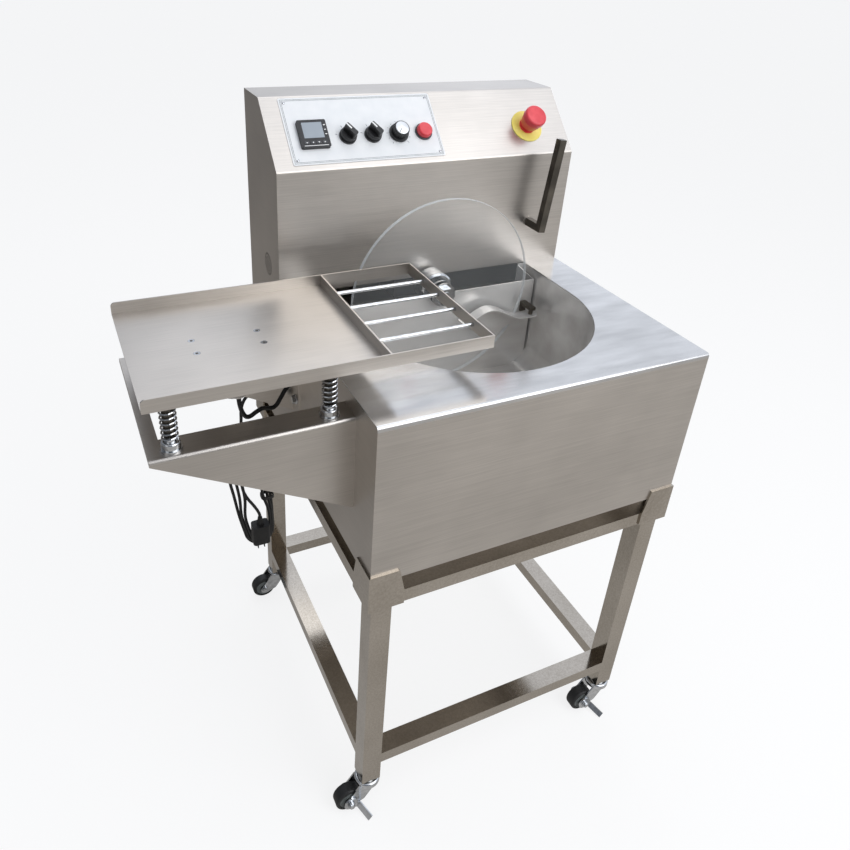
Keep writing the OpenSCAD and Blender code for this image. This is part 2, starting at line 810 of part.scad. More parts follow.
// Folded front, slope and roof with side cheeks and the rear cover's flanges
module housing_shell() color(brushed) difference() {
    in_body() {
        outer = rounded(with_radii(house_outline, [0, bend_r, bend_r, 0, 0]));
        inner = rounded(with_radii(house_void, [0, bend_r - sheet, bend_r - sheet, 0, 0]));
        along_x(0, body_w) difference() {
            polygon(outer);
            polygon(inner);
        }
        for (x = [0, body_w - sheet]) along_x(x, sheet) polygon(outer);
        for (x = [sheet, body_w - sheet - cover_flange])
            translate([x, body_d - 2 * sheet, 0]) cube([cover_flange, sheet, house_h - sheet]);
        translate([sheet, body_d - 2 * sheet, house_h - sheet - cover_flange])
            cube([body_w - 2 * sheet, sheet, cover_flange]);
    }
    panel_holes(sheet);
    on_panel(stop_x, row_y) translate([0, 0, -5]) cylinder(r = switch_r + slide, h = 10);
    in_body() rod_y(lever_x, top_d - over, lever_z, bush_r + run, sheet + 2 * over);
    vent_holes();
}

// Cut-outs for the controller and the switches on the control plate
module panel_holes(t) {
    on_panel(ctrl_x, ctrl_y) translate([0, 0, -t - over])
        linear_extrude(t + plate_t + 2 * over) square(ctrl_hole + 2 * slide, center = true);
    for (x = concat(selector_xs, [lamp_x])) on_panel(x, row_y) translate([0, 0, -t - over])
        cylinder(r = switch_r + slide, h = t + plate_t + 2 * over);
    on_panel(speed_x, row_y) translate([0, 0, -t - over])
        cylinder(r = speed_r + slide, h = t + plate_t + 2 * over);
}

// Rings of small holes in the left cheek
module vent_holes() in_body() {
    pitch = vent_hole_r * 3;
    for (ring = [0:floor((vent_r - vent_hole_r) / pitch)])
        for (k = [0:max(ring * 6 - 1, 0)])
            let (a = ring == 0 ? 0 : 360 * k / (ring * 6))
            translate([-over, vent_at.x + ring * pitch * cos(a), vent_at.y + ring * pitch * sin(a)])
                rotate([0, 90, 0]) cylinder(r = vent_hole_r, h = sheet + 2 * over, $fn = 16);
}

// Rear cover of the housing
module rear_cover() color(brushed) in_body()
    translate([sheet + gap, body_d - sheet, 0])
        cube([body_w - 2 * sheet - 2 * gap, sheet, house_h - sheet - gap]);

// Shelf between the body's sides that carries the gear motor
shelf_t = 3;
gear_h = 92;
gear_w = 90;
gear_l = 62;
gear_boss = 6;
motor_r = 36;
motor_gap = 6;
shelf_top = axle_z - gear_h / 2;

module motor_shelf() color(brushed) in_body()
    translate([sheet, gear_front, shelf_top - shelf_t])
        cube([body_w - 2 * sheet, body_d - sheet - gear_front, shelf_t]);

// Gear box and motor that turn the wheel
module gear_motor() color(dark) in_body() difference() {
    union() {
        translate([mid_x - gear_w / 2, gear_front, shelf_top]) cube([gear_w, gear_l, gear_h]);
        rod_y(mid_x, gear_front - gear_boss, axle_z, flange_r, gear_boss + over);
        rod_y(mid_x, gear_front + gear_l, axle_z, motor_r, body_d - sheet - motor_gap - gear_front - gear_l);
    }
    bore_y = gear_front - gear_boss - over;
    rod_y(mid_x, bore_y, axle_z, shaft_r + run, shaft_end + gap - bore_y);
}

// White plate on the slope
module control_plate() color(white) difference() {
    on_panel(plate_x + plate_w / 2, plate_y + plate_h / 2) pad(plate_w, plate_h, plate_t, 3);
    panel_holes(sheet);
}

// Temperature controller with its screen recess and key slots
module controller_case() color(black) on_panel(ctrl_x, ctrl_y) difference() {
    union() {
        translate([0, 0, plate_t]) pad(ctrl_w, ctrl_w, bezel_t, 2.5);
        translate([-ctrl_hole / 2, -ctrl_hole / 2, -ctrl_depth])
            cube([ctrl_hole, ctrl_hole, ctrl_depth + plate_t + over]);
    }
    translate([-screen_w / 2, screen_y - screen_h / 2, plate_t + bezel_t - 1.5]) cube([screen_w, screen_h, 3]);
    for (x = key_xs) translate([x - key_w / 2 - slide, key_y - key_h / 2 - slide, plate_t + bezel_t - 4])
        cube([key_w + 2 * slide, key_h + 2 * slide, 5]);
}

module controller_screen() color("#8f9a92") on_panel(ctrl_x, ctrl_y)
    translate([-screen_w / 2 + slide, screen_y - screen_h / 2 + slide, plate_t + bezel_t - 1.5])
        cube([screen_w - 2 * slide, screen_h - 2 * slide, 1]);

// One key of the controller
module key(i) color("#5a5c60") on_panel(ctrl_x + key_xs[i], ctrl_y + key_y)
    translate([0, 0, plate_t + bezel_t - 4 + key_travel + slide]) pad(key_w, key_h, 4, 0.8);

module key_1() key(0);
module key_2() key(1);
module key_3() key(2);
module key_4() key(3);

// Switch bodies: two selectors and the speed control
module switch_bezels() color(black) {
    for (x = selector_xs) on_panel(x, row_y) difference() {
        union() {
            translate([0, 0, plate_t]) cylinder(r = bezel_r, h = bezel_h);
            translate([0, 0, -switch_depth]) cylinder(r = switch_r, h = switch_depth + plate_t + over);
        }
        translate([0, 0, -spindle_l - 2]) cylinder(r = spindle_r + run, h = switch_depth);
    }
    on_panel(speed_x, row_y) difference() {
        union() {
            translate([0, 0, plate_t]) cylinder(r = speed_r + 4, h = speed_nut_t);
            translate([0, 0, -sheet]) cylinder(r = speed_r, h = sheet + plate_t + over);
            translate([0, 0, -sheet - speed_depth]) cylinder(r = speed_r + 7, h = speed_depth);
        }
        translate([0, 0, -spindle_l - 2]) cylinder(r = speed_spindle_r + run, h = switch_depth);
    }
}

// Selector knob with a raised grip
knob_r = 13;
knob_h = 8;
grip_w = 9;
grip_rise = 12;
grip_turn = 35;
module selector(x) color(black) on_panel(x, row_y) {
    base = plate_t + bezel_h + gap;
    end = knob_r - 1;
    half = grip_w / 2;
    translate([0, 0, -spindle_l]) cylinder(r = spindle_r, h = spindle_l + base + over);
    translate([0, 0, base]) rotate_extrude() translate([0, knob_h]) round_profile(knob_r, knob_h, 1.5);
    translate([0, 0, base + knob_h - over]) rotate([0, 0, grip_turn]) linear_extrude(grip_rise + over)
        polygon(rounded([[-half, -end, 3], [half, -end, 3], [half - 1, end, 2], [1 - half, end, 2]]));
}

module selector_left() selector(selector_xs[0]);
module selector_right() selector(selector_xs[1]);

// Speed knob with a skirt and a fluted grip
module speed_knob() color(black) on_panel(speed_x, row_y) {
    base = plate_t + speed_nut_t + gap;
    grip_r = 13.5;
    grip_h = 13;
    skirt_h = 4;
    flutes = 20;
    flute_r = 1.4;
    translate([0, 0, -spindle_l]) cylinder(r = speed_spindle_r, h = spindle_l + base + over);
    translate([0, 0, base]) cylinder(r1 = grip_r + 3.5, r2 = grip_r + 2.5, h = skirt_h);
    difference() {
        translate([0, 0, base + skirt_h - over]) rotate_extrude() translate([0, grip_h])
            round_profile(grip_r, grip_h, 1.2);
        for (k = [0:flutes - 1]) rotate([0, 0, 360 * k / flutes])
            translate([grip_r + flute_r / 2, 0, base + skirt_h]) cylinder(r = flute_r, h = grip_h, $fn = 16);
    }
}

// Red pilot lamp with a domed lens
module pilot_lamp() color(red) on_panel(lamp_x, row_y) {
    translate([0, 0, -lamp_depth]) cylinder(r = switch_r, h = lamp_depth + plate_t + over);
    translate([0, 0, plate_t]) cylinder(r = bezel_r, h = 3);
    translate([0, 0, plate_t + 3]) rotate_extrude() translate([0, 9]) round_profile(13, 9, 3.5);
}

// Yellow ring behind the emergency stop
module estop_ring() color(yellow) on_panel(stop_x, row_y) difference() {
    cylinder(r = ring_r, h = ring_t);
    translate([0, 0, -over]) cylinder(r = switch_r + slide, h = ring_t + 2 * over);
}

module estop_collar() color(red) on_panel(stop_x, row_y) difference() {
    union() {
        translate([0, 0, ring_t]) cylinder(r = collar_r + 2, h = collar_base_t);
        translate([0, 0, ring_t]) cylinder(r = collar_r, h = collar_h);
        translate([0, 0, -switch_depth]) cylinder(r = switch_r, h = switch_depth + ring_t + over);
    }
    translate([0, 0, -switch_depth + 10]) cylinder(r = stem_r + run, h = 2 * switch_depth);
}

// Stem that slides in the collar and carries the head
skirt_z = ring_t + collar_base_t + stop_travel + 1;
skirt_in = ring_t + collar_h + stop_travel + 1;
stem_top = skirt_in + 9;
module estop_plunger() color(red) on_panel(stop_x, row_y)
    translate([0, 0, -switch_depth + 18]) cylinder(r = stem_r, h = switch_depth - 18 + stem_top);

// Mushroom head with a skirt around the collar, which turns on the stem to release
module estop_head() color(red) on_panel(stop_x, row_y) difference() {
    union() {
        translate([0, 0, skirt_z + stop_h]) rotate_extrude() round_profile(stop_r, stop_h - 15, 4);
        translate([0, 0, skirt_z]) cylinder(r1 = collar_r + gap + skirt_t, r2 = stop_r, h = 15.01);
    }
    translate([0, 0, skirt_z - over]) cylinder(r = collar_r + gap, h = skirt_in - skirt_z + over);
    translate([0, 0, skirt_in - over]) cylinder(r = stem_r + run, h = stem_top - skirt_in + over + gap);
}

// Bush in the housing's front that carries the lever
module lever_bush() color(brushed) in_body() difference() {
    union() {
        rod_y(lever_x, top_d - bush_flange_t, lever_z, bush_r + 1.5, bush_flange_t);
        rod_y(lever_x, top_d - over, lever_z, bush_r, 26);
    }
    rod_y(lever_x, top_d - bush_flange_t - over, lever_z, lever_pin_r + run, 40);
}

// Square-bar lever: pin in the bush, foot and leaning upright bar
module flow_lever() color(dark) in_body() translate([lever_x, top_d, lever_z]) {
    near = bush_flange_t + gap;
    rod_y(0, -near - over, 0, lever_pin_r, 25 + near + over);
    rotate([0, lever_lean, 0]) translate([-lever_w / 2, -lever_out - lever_w, -lever_w / 2]) {
        cube([lever_w, lever_out + lever_w - near, lever_w]);
        cube([lever_w, lever_w, lever_l]);
    }
}

// Folded bracket on the body's left side: two gussets, mounting flanges and inward top flanges
module table_bracket() color(brushed) in_body() {
    mount_w = 30;
    intersection() {
        union() {
            bracket_angle();
            translate([0, bracket_y0 + bracket_y1, 0]) mirror([0, 1, 0]) bracket_angle();
        }
        // Gussets taper towards the tip
        along_y(bracket_y0 - over, bracket_y1 - bracket_y0 + 2 * over) polygon([
            [bracket_x0, bracket_z], [0, bracket_z], [0, bracket_z - bracket_h],
            [-bracket_t, bracket_z - bracket_h], [bracket_x0, bracket_z - bracket_tip_h]
        ]);
    }
    inner_y = bracket_y0 + bracket_t;
    inner_d = bracket_y1 - bracket_y0 - 2 * bracket_t;
    // Mounting flanges against the body
    for (y = [inner_y, inner_y + inner_d - mount_w])
        translate([-bracket_t, y, bracket_z - bracket_h]) cube([bracket_t, mount_w, bracket_h - bend_r]);
    // Left end of the top flange and its short fold
    translate([bracket_x0, bracket_y0 + flange_w, bracket_z - bracket_t])
        cube([bracket_end_w, bracket_y1 - bracket_y0 - 2 * flange_w, bracket_t]);
    translate([bracket_x0, inner_y, bracket_z - bracket_tip_h]) cube([bracket_t, inner_d, bracket_tip_h - 1]);
}

// Angle with a rolled edge, as long as the bracket
module bracket_angle() along_x(bracket_x0, -bracket_x0) translate([bracket_y0, bracket_z]) difference() {
    round_corner(flange_w, bracket_h, bend_r);
    translate([bracket_t, -bracket_t]) round_corner(flange_w, bracket_h, bend_r - bracket_t + 0.5);
}

// Domed lower seats of the springs
module spring_seats() color(chrome) in_body() {
    for (x = spring_xs, y = spring_ys) translate([x, y, bracket_z]) {
        cylinder(r = spring_r + 3, h = seat_flange_t);
        rotate_extrude() translate([0, seat_h]) round_profile(spring_r + 1, seat_h, 3);
        cylinder(r = pilot_r, h = seat_h + pilot_h);
    }
}

// Helical springs between the bracket and the table
module table_springs() color(chrome) in_body() {
    for (x = spring_xs, y = spring_ys) translate([x, y, spring_z0])
        coil_spring(spring_r - wire_r, wire_r, coils, spring_z1 - spring_z0);
}

// Caps and guide studs under the table
module spring_studs() color(dark) in_body() {
    for (x = spring_xs, y = spring_ys) {
        translate([x, y, spring_z1]) cylinder(r = spring_r + 2, h = stud_cap_t);
        translate([x, y, spring_z0 + pilot_h + stud_gap])
            cylinder(r = pilot_r, h = spring_z1 - spring_z0 - pilot_h - stud_gap + over);
    }
}

// Table of folded sheet: plate, front and back rims, divider, end bar and grid lip
module tray() color(brushed) in_body() difference() {
    union() {
        translate([tray_x0, tray_y0, tray_z]) cube([tray_w - grid_w + grid_lip, tray_d, tray_t]);
        for (y = [tray_y0, tray_y1 - tray_t]) along_y(y, tray_t) polygon(rounded([
            [tray_x0, tray_z, 0], [tray_x1, tray_z, 0],
            [tray_x1, tray_z + rim_h, 0], [tray_x0, tray_z + rim_h, 6]
        ]));
        for (x = [grid_x, tray_x1 - tray_t]) translate([x, tray_y0, tray_z]) cube([tray_t, tray_d, rim_h]);
    }
    for (x = [-1, 1], y = [-1, 1]) translate([vib_x + x * foot_x / 2, vib_y + y * foot_y / 2, tray_z]) {
        translate([0, 0, -over]) cylinder(r = vib_hole_r, h = tray_t + 2 * over);
        // Countersink, carried on above the face
        translate([0, 0, tray_t - screw_head_t])
            cylinder(r1 = vib_hole_r, r2 = 2 * screw_head_r - vib_hole_r, h = 2 * screw_head_t);
    }
}

// Rods of the grid, between the divider and the end bar
module grid_rods() color(chrome) in_body() {
    pitch = (tray_d - 2 * tray_t) / (rod_count + 1);
    for (i = [1:rod_count])
        translate([grid_x + tray_t, tray_y0 + tray_t + i * pitch, tray_z + rim_h / 2]) rotate([0, 90, 0])
            cylinder(r = rod_r, h = grid_w - 2 * tray_t);
}

// Vibrator motor: foot, web, barrel with domed ends and cooling ribs
module vibrator_motor() color("#c9c8c2") in_body() translate([vib_x, vib_y, 0]) difference() {
    union() {
        translate([0, 0, tray_z - vib_foot_t]) pad(foot_x + 22, foot_y + 24, vib_foot_t, 6);
        translate([-24, -foot_y / 2 - 4, vib_z]) cube([48, foot_y + 8, tray_z - vib_z - 2]);
        translate([0, -vib_l / 2, vib_z]) rotate([-90, 0, 0]) rotate_extrude() barrel_2d();
        // Cable entry on the underside
        translate([cable_start.x - vib_x, cable_start.y - vib_y, vib_z - vib_r - vib_entry_h])
            cylinder(r = cable_d / 2 + vib_entry_gap + 2.5, h = vib_entry_h + 12);
    }
    for (x = [-1, 1], y = [-1, 1]) translate([x * foot_x / 2, y * foot_y / 2, tray_z - vib_foot_t - over])
        cylinder(r = vib_hole_r, h = vib_foot_t + 2 * over);
    translate([cable_start.x - vib_x, cable_start.y - vib_y, vib_z - vib_r - vib_entry_h - over])
        cylinder(r = cable_d / 2 + vib_entry_gap, h = 14);
}

// Half outline of the barrel: rounded end caps, end bands and cooling ribs
module barrel_2d() {
    ribs = 4;
    cap = 16;
    band = 12;
    rib_t = 4;
    rib_y0 = band + cap;
    rib_step = (vib_l - 2 * rib_y0 - rib_t) / (ribs - 1);
    translate([0, cap - 2]) square([vib_r - 2, vib_l - 2 * cap + 4]);
    translate([0, vib_l]) round_profile(vib_r - 3, cap, 10);
    mirror([0, 1]) round_profile(vib_r - 3, cap, 10);
    for (y = [cap - 6, vib_l - cap + 6 - band]) translate([0, y]) square([vib_r, band]);
    for (k = [0:ribs - 1]) translate([0, rib_y0 + k * rib_step]) square([vib_r, rib_t]);
}

// Screws through the table and their nuts under the vibrator's foot
module vibrator_screws() color(chrome) in_body() {
    for (x = [-1, 1], y = [-1, 1]) translate([vib_x + x * foot_x / 2, vib_y + y * foot_y / 2, tray_z]) {
        translate([0, 0, tray_t - screw_head_t])
            cylinder(r1 = vib_hole_r - run, r2 = screw_head_r - 0.3, h = screw_head_t - 0.1);
        translate([0, 0, -vib_foot_t - nut_h])
            cylinder(r = vib_hole_r - run, h = vib_foot_t + nut_h + tray_t - screw_head_t / 2);
        translate([0, 0, -vib_foot_t - nut_h]) cylinder(r = nut_r, h = nut_h, $fn = 6);
    }
}

// Gland where the vibrator's cable enters the body
module cable_gland() color(black) in_body() {
    translate([0, cable_end.y, cable_end.z]) rotate([0, -90, 0]) {
        cylinder(r = cable_d / 2 + 5.5, h = 5, $fn = 6);
        cylinder(r = cable_d / 2 + 3.5, h = cable_gland_l);
        translate([0, 0, -sheet - 4]) cylinder(r = cable_neck_r, h = sheet + 5);
    }
}

module vibrator_cable() color(black) in_body() tube(cable_points, cable_d / 2);

// Gland where the mains cord leaves the body
module cord_gland() color(black) in_body() translate([0, cord_exit.y, cord_exit.z]) rotate([0, -90, 0]) {
    cylinder(r = cord_d / 2 + 6, h = 6, $fn = 6);
    cylinder(r1 = cord_d / 2 + 4.5, r2 = cord_d / 2 + 1.5, h = gland_l);
    translate([0, 0, -sheet - 5]) cylinder(r = cord_neck_r, h = sheet + 6);
}

// Lead from the gland to the hank and tail from the hank to the plug
module cord_lead() color(black) in_body() {
    tube(lead_points, cord_d / 2);
    tube(tail_points, cord_d / 2);
}

// Outer form of the wound hank
module cord_hank() color(black) in_body() translate(hank_mid) rotate([0, -hank_lean, 0]) {
    half = (hank_size.z - hank_size.x) / 2;
    along_y(-hank_size.y / 2, hank_size.y) {
        square([hank_size.x, 2 * half], center = true);
        for (z = [-half, half]) translate([0, z]) circle(hank_size.x / 2);
    }
}

// Moulded plug with a tapered strain relief and flat pins
module cord_plug() color(black) in_body() translate(plug_top) {
    translate([0, 0, -relief_l]) cylinder(r1 = cord_d / 2 + 4, r2 = cord_d / 2 + 1.2, h = relief_l);
    translate([0, 0, -relief_l - plug_size.z]) pad(plug_size.x, plug_size.y, plug_size.z + 0.01, 6);
    for (x = [-pin_gap / 2, pin_gap / 2])
        translate([x - pin_size.x / 2, -pin_size.y / 2, -relief_l - plug_size.z - pin_size.z])
            cube(pin_size + [0, 0, over]);
}

stand_legs();
stand_rails();
corner_brackets();
castor_mounts();
body_shell();
top_plate();
base_plate();
tank();
tank_heater();
scraper();
scraper_holder();
housing_shell();
rear_cover();
gear_motor();
motor_shelf();
control_plate();
controller_case();
controller_screen();
key_1();
key_2();
key_3();
key_4();
switch_bezels();
selector_left();
selector_right();
speed_knob();
pilot_lamp();
estop_ring();
estop_collar();
estop_plunger();
estop_head();
lever_bush();
flow_lever();
wheel_disc();
wheel_shaft();
wheel_nut();
table_bracket();
spring_seats();
table_springs();
tray();
grid_rods();
spring_studs();
vibrator_motor();
vibrator_screws();
cable_gland();
vibrator_cable();
cord_gland();
cord_lead();
cord_hank();
cord_plug();
castor_fork_fl();
castor_fork_fr();
castor_fork_rl();
castor_fork_rr();
castor_wheel_fl();
castor_wheel_fr();
castor_wheel_rl();
castor_wheel_rr();
castor_brake_fl();
castor_brake_fr();
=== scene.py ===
import json
import math

import bmesh
import bpy
from mathutils import Matrix, Vector


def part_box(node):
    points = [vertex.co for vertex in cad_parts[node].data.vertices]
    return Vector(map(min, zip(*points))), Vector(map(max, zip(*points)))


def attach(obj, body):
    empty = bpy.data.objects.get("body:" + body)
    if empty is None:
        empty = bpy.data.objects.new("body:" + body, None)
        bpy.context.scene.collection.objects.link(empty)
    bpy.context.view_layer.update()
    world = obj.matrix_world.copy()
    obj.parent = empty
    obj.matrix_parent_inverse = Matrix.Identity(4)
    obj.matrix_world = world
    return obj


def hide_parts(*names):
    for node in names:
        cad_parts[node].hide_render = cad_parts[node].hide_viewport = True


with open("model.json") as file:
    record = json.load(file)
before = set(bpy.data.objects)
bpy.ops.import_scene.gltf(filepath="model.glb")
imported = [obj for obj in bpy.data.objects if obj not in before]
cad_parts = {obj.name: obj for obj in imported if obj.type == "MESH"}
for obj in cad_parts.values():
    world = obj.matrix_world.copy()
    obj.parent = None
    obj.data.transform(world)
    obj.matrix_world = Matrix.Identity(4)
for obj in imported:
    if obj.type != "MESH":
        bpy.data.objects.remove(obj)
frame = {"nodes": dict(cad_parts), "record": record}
nodes = frame["nodes"]
scene = bpy.context.scene
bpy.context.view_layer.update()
mm = 0.001
print("frame loaded,", len(nodes), "nodes")

# Every place below is in millimetres from the front left corner of the body's top
topLow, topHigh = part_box("top_plate")
bodyCorner = Vector((topLow.x, topLow.y, topHigh.z))


def at(x, y, z):
    return bodyCorner + Vector((x, y, z)) * mm


# Camera, solved from the photograph
photoCamera = {
    "place": (-327.06, -686.13, 536.0),  # mm from the body's corner
    "turn": 26.459,  # degrees to the right of straight ahead
    "tilt": 29.061,  # degrees downwards
    "roll": 3.288,
    "focal": 746.66,  # pixels
    "centre": (392.9, 348.9),  # pixel that the lens points at
    "pixels": 850,
    "sensor": 36.0,
    "clip": (0.05, 100),  # metres
}


def placeCamera(spec):
    turn, tilt, roll = (math.radians(spec[key]) for key in ("turn", "tilt", "roll"))
    ahead = Vector((math.sin(turn) * math.cos(tilt), math.cos(turn) * math.cos(tilt), -math.sin(tilt)))
    level = Vector((math.cos(turn), -math.sin(turn), 0))
    upright = level.cross(ahead)
    right = level * math.cos(roll) + upright * math.sin(roll)
    up = upright * math.cos(roll) - level * math.sin(roll)
    data = bpy.data.cameras.new("photoCamera")
    data.sensor_width = spec["sensor"]
    data.lens = spec["focal"] * spec["sensor"] / spec["pixels"]
    data.shift_x = 0.5 - spec["centre"][0] / spec["pixels"]
    data.shift_y = spec["centre"][1] / spec["pixels"] - 0.5
    data.clip_start, data.clip_end = spec["clip"]
    camera = bpy.data.objects.new("photoCamera", data)
    turned = Matrix((right, up, -ahead)).transposed().to_4x4()
    camera.matrix_world = Matrix.Translation(at(*spec["place"])) @ turned
    scene.collection.objects.link(camera)
    scene.camera = camera


placeCamera(photoCamera)
print("camera placed")


def linear(hexColour):
    parts = [int(hexColour[i:i + 2], 16) / 255 for i in (1, 3, 5)]
    return [c / 12.92 if c <= 0.04045 else ((c + 0.055) / 1.055) ** 2.4 for c in parts] + [1.0]


def addNode(tree, kind, sockets=None, links=None, **settings):
    node = tree.nodes.new(kind)
    for key, value in settings.items():
        setattr(node, key, value)
    for key, value in (sockets or {}).items():
        node.inputs[key].default_value = value
    for key, source in (links or {}).items():
        tree.links.new(source, node.inputs[key])
    return node


# A new material with its noise patterns: each has its spacing along X, Y and Z in mm, and its detail
def newMaterial(name, patterns, **sockets):
    material = bpy.data.materials.new(name)
    material.use_nodes = True
    tree = material.node_tree
    shader = tree.nodes["Principled BSDF"]
    for key, value in sockets.items():
        shader.inputs[key.replace("_", " ")].default_value = value
    fields = {}
    place = addNode(tree, "ShaderNodeTexCoord")
    for key, (sizes, detail) in patterns.items():
        scaled = addNode(tree, "ShaderNodeMapping", {"Scale": [1 / (size * mm) for size in sizes]},
                         {"Vector": place.outputs["Object"]})
        noise = addNode(tree, "ShaderNodeTexNoise", {"Scale": 1.0, "Detail": detail},
                        {"Vector": scaled.outputs["Vector"]})
        fields[key] = noise.outputs["Fac"]
    return material, tree, shader, fields


noiseSpan = (0.3, 0.7)  # most of a noise pattern lies between these
reliefStrength = 0.3


# Colour, gloss and relief of a surface from three of its patterns
def dressSurface(tree, shader, tint, colours, gloss, roughness, relief, depthMm):
    shade = addNode(tree, "ShaderNodeMapRange", {"From Min": noiseSpan[0], "From Max": noiseSpan[1]},
                    {"Value": tint})
    colour = addNode(tree, "ShaderNodeMix", {6: linear(colours[0]), 7: linear(colours[1])},
                     {0: shade.outputs["Result"]}, data_type="RGBA")
    rough = addNode(tree, "ShaderNodeMapRange", {"To Min": roughness[0], "To Max": roughness[1]},
                    {"Value": gloss})
    bump = addNode(tree, "ShaderNodeBump", {"Strength": reliefStrength, "Distance": depthMm * mm},
                   {"Height": relief})
    tree.links.new(colour.outputs[2], shader.inputs["Base Color"])
    tree.links.new(rough.outputs["Result"], shader.inputs["Roughness"])
    tree.links.new(bump.outputs["Normal"], shader.inputs["Normal"])


# Stainless sheet, brushed level: fine streaks that blur what the sheet mirrors
brushedSpec = {
    "colours": ("#b5b0aa", "#d2ccc5"), "rough": (0.26, 0.46),
    "length": 80, "width": 0.9,  # mm of a streak, drawn wider than the real grain so that it shows
    "cloud": 170, "cloudShare": 0.55,
    "flatAbove": 0.75,  # upward share of the normal from which a face counts as flat
    "depth": 0.02,
}


def brushedStainless(spec):
    across, along = spec["width"], spec["length"]
    material, tree, shader, fields = newMaterial("brushedStainless", {
        "walls": ((along, along, across), 2.0),
        "flats": ((along, across, along), 2.0),
        "cloud": ((spec["cloud"],) * 3, 3.0),
    }, Metallic=1.0)
    facing = addNode(tree, "ShaderNodeNewGeometry")
    parts = addNode(tree, "ShaderNodeSeparateXYZ", links={"Vector": facing.outputs["Normal"]})
    upward = addNode(tree, "ShaderNodeMath", links={0: parts.outputs["Z"]}, operation="ABSOLUTE")
    flat = addNode(tree, "ShaderNodeMath", {1: spec["flatAbove"]}, {0: upward.outputs[0]},
                   operation="GREATER_THAN")
    grain = addNode(tree, "ShaderNodeMix",
                    links={"Factor": flat.outputs[0], "A": fields["walls"], "B": fields["flats"]})
    streaks = grain.outputs["Result"]
    blend = addNode(tree, "ShaderNodeMix", {"Factor": spec["cloudShare"]},
                    {"A": streaks, "B": fields["cloud"]})
    dressSurface(tree, shader, blend.outputs["Result"], spec["colours"], streaks, spec["rough"],
                 streaks, spec["depth"])
    return material


# Stainless sheet, mirror polished: clear reflections with a slow ripple and wipe marks
topSpec = {"name": "polishedStainlessTop", "colours": ("#bbbab9", "#d6d5d4"), "ripple": 140, "wipe": 30,
           "rough": (0.12, 0.28), "metal": 0.9, "depth": 0.12}
# The tank's copy is painted light: paler and half matt, standing in for the brightness that its polished
# walls mirror
tankPaintedLightSpec = {"name": "polishedStainlessTankPaintedLight", "colours": ("#d3d0cc", "#e9e7e4"), "ripple": 90, "wipe": 40,
            "rough": (0.14, 0.3), "metal": 0.5, "depth": 0.25}


def polishedStainless(spec):
    wipe = spec["wipe"]
    material, tree, shader, fields = newMaterial(spec["name"], {
        "ripple": ((spec["ripple"],) * 3, 1.0),
        "wipe": ((wipe * 4, wipe, wipe), 3.0),  # wiped from side to side
    }, Metallic=spec["metal"])
    dressSurface(tree, shader, fields["wipe"], spec["colours"], fields["wipe"], spec["rough"],
                 fields["ripple"], spec["depth"])
    return material


# Stainless tube, polished: a slightly brown mirror with fine specks and drawn streaks
tubeSpec = {"colours": ("#a0988d", "#beb7ad"), "rough": (0.07, 0.2), "speck": 3.5, "streak": (2.2, 2.2, 88),
            "cloud": 120, "cloudShare": 0.5, "depth": 0.15}


def tubeStainless(spec):
    material, tree, shader, fields = newMaterial("tubeStainless", {
        "speck": ((spec["speck"],) * 3, 3.0),
        "streak": (spec["streak"], 2.0),
        "cloud": ((spec["cloud"],) * 3, 2.0),
    }, Metallic=1.0)
    blend = addNode(tree, "ShaderNodeMix", {"Factor": spec["cloudShare"]},
                    {"A": fields["speck"], "B": fields["cloud"]})
    dressSurface(tree, shader, blend.outputs["Result"], spec["colours"], fields["streak"], spec["rough"],
                 fields["cloud"], spec["depth"])
    return material


# Bright chrome plate: a hard mirror with slight haze
chromeSpec = {"colours": ("#b3b5b7", "#d6d8da"), "rough": (0.08, 0.24), "haze": 9, "depth": 0.05}


def chromePlate(spec):
    material, tree, shader, fields = newMaterial("chromePlate", {"haze": ((spec["haze"],) * 3, 3.0)},
                                                 Metallic=1.0)
    dressSurface(tree, shader, fields["haze"], spec["colours"], fields["haze"], spec["rough"],
                 fields["haze"], spec["depth"])
    return material


# Cast acrylic sheet: clear, with a faint mottled white veil that is painted sheen on the clear face
acrylicSpec = {"colours": ("#dfe3e4", "#f1f4f4"), "veil": 70, "ior": 1.49, "depth": 0.01}


def clearAcrylic(spec, name, alpha, rough):
    material, tree, shader, fields = newMaterial(name, {"veil": ((spec["veil"],) * 3, 3.0)},
                                                 IOR=spec["ior"], Alpha=alpha)
    dressSurface(tree, shader, fields["veil"], spec["colours"], fields["veil"], rough,
                 fields["veil"], spec["depth"])
    return material


# A moulded, printed or painted surface: a little variation, fine grain and its own gloss
mouldedSpec = {"cloudToGrain": 18, "roughSpread": (-0.06, 0.08)}


def mouldedSurface(name, dark, light, rough, grainMm, depthMm=0.05, **sockets):
    material, tree, shader, fields = newMaterial(name, {
        "grain": ((grainMm,) * 3, 4.0),
        "cloud": ((grainMm * mouldedSpec["cloudToGrain"],) * 3, 2.0),
    }, **sockets)
    roughness = [rough + spread for spread in mouldedSpec["roughSpread"]]
    dressSurface(tree, shader, fields["cloud"], (dark, light), fields["grain"], roughness,
                 fields["grain"], depthMm)
    return material


steel = brushedStainless(brushedSpec)
mirror = polishedStainless(topSpec)
tankSteelPaintedLight = polishedStainless(tankPaintedLightSpec)
tube = tubeStainless(tubeSpec)
chrome = chromePlate(chromeSpec)
# On the cast sheet the faint white veil is painted sheen
acrylic = clearAcrylic(acrylicSpec, "clearAcrylicCast", 0.06, (0.03, 0.12))
acrylicEdge = clearAcrylic(acrylicSpec, "clearAcrylicSawn", 0.4, (0.4, 0.6))  # frosted by the saw
# Rubber: dull black with soft highlights
rubber = mouldedSurface("blackRubberMoulded", "#171717", "#232323", 0.55, 1.2)
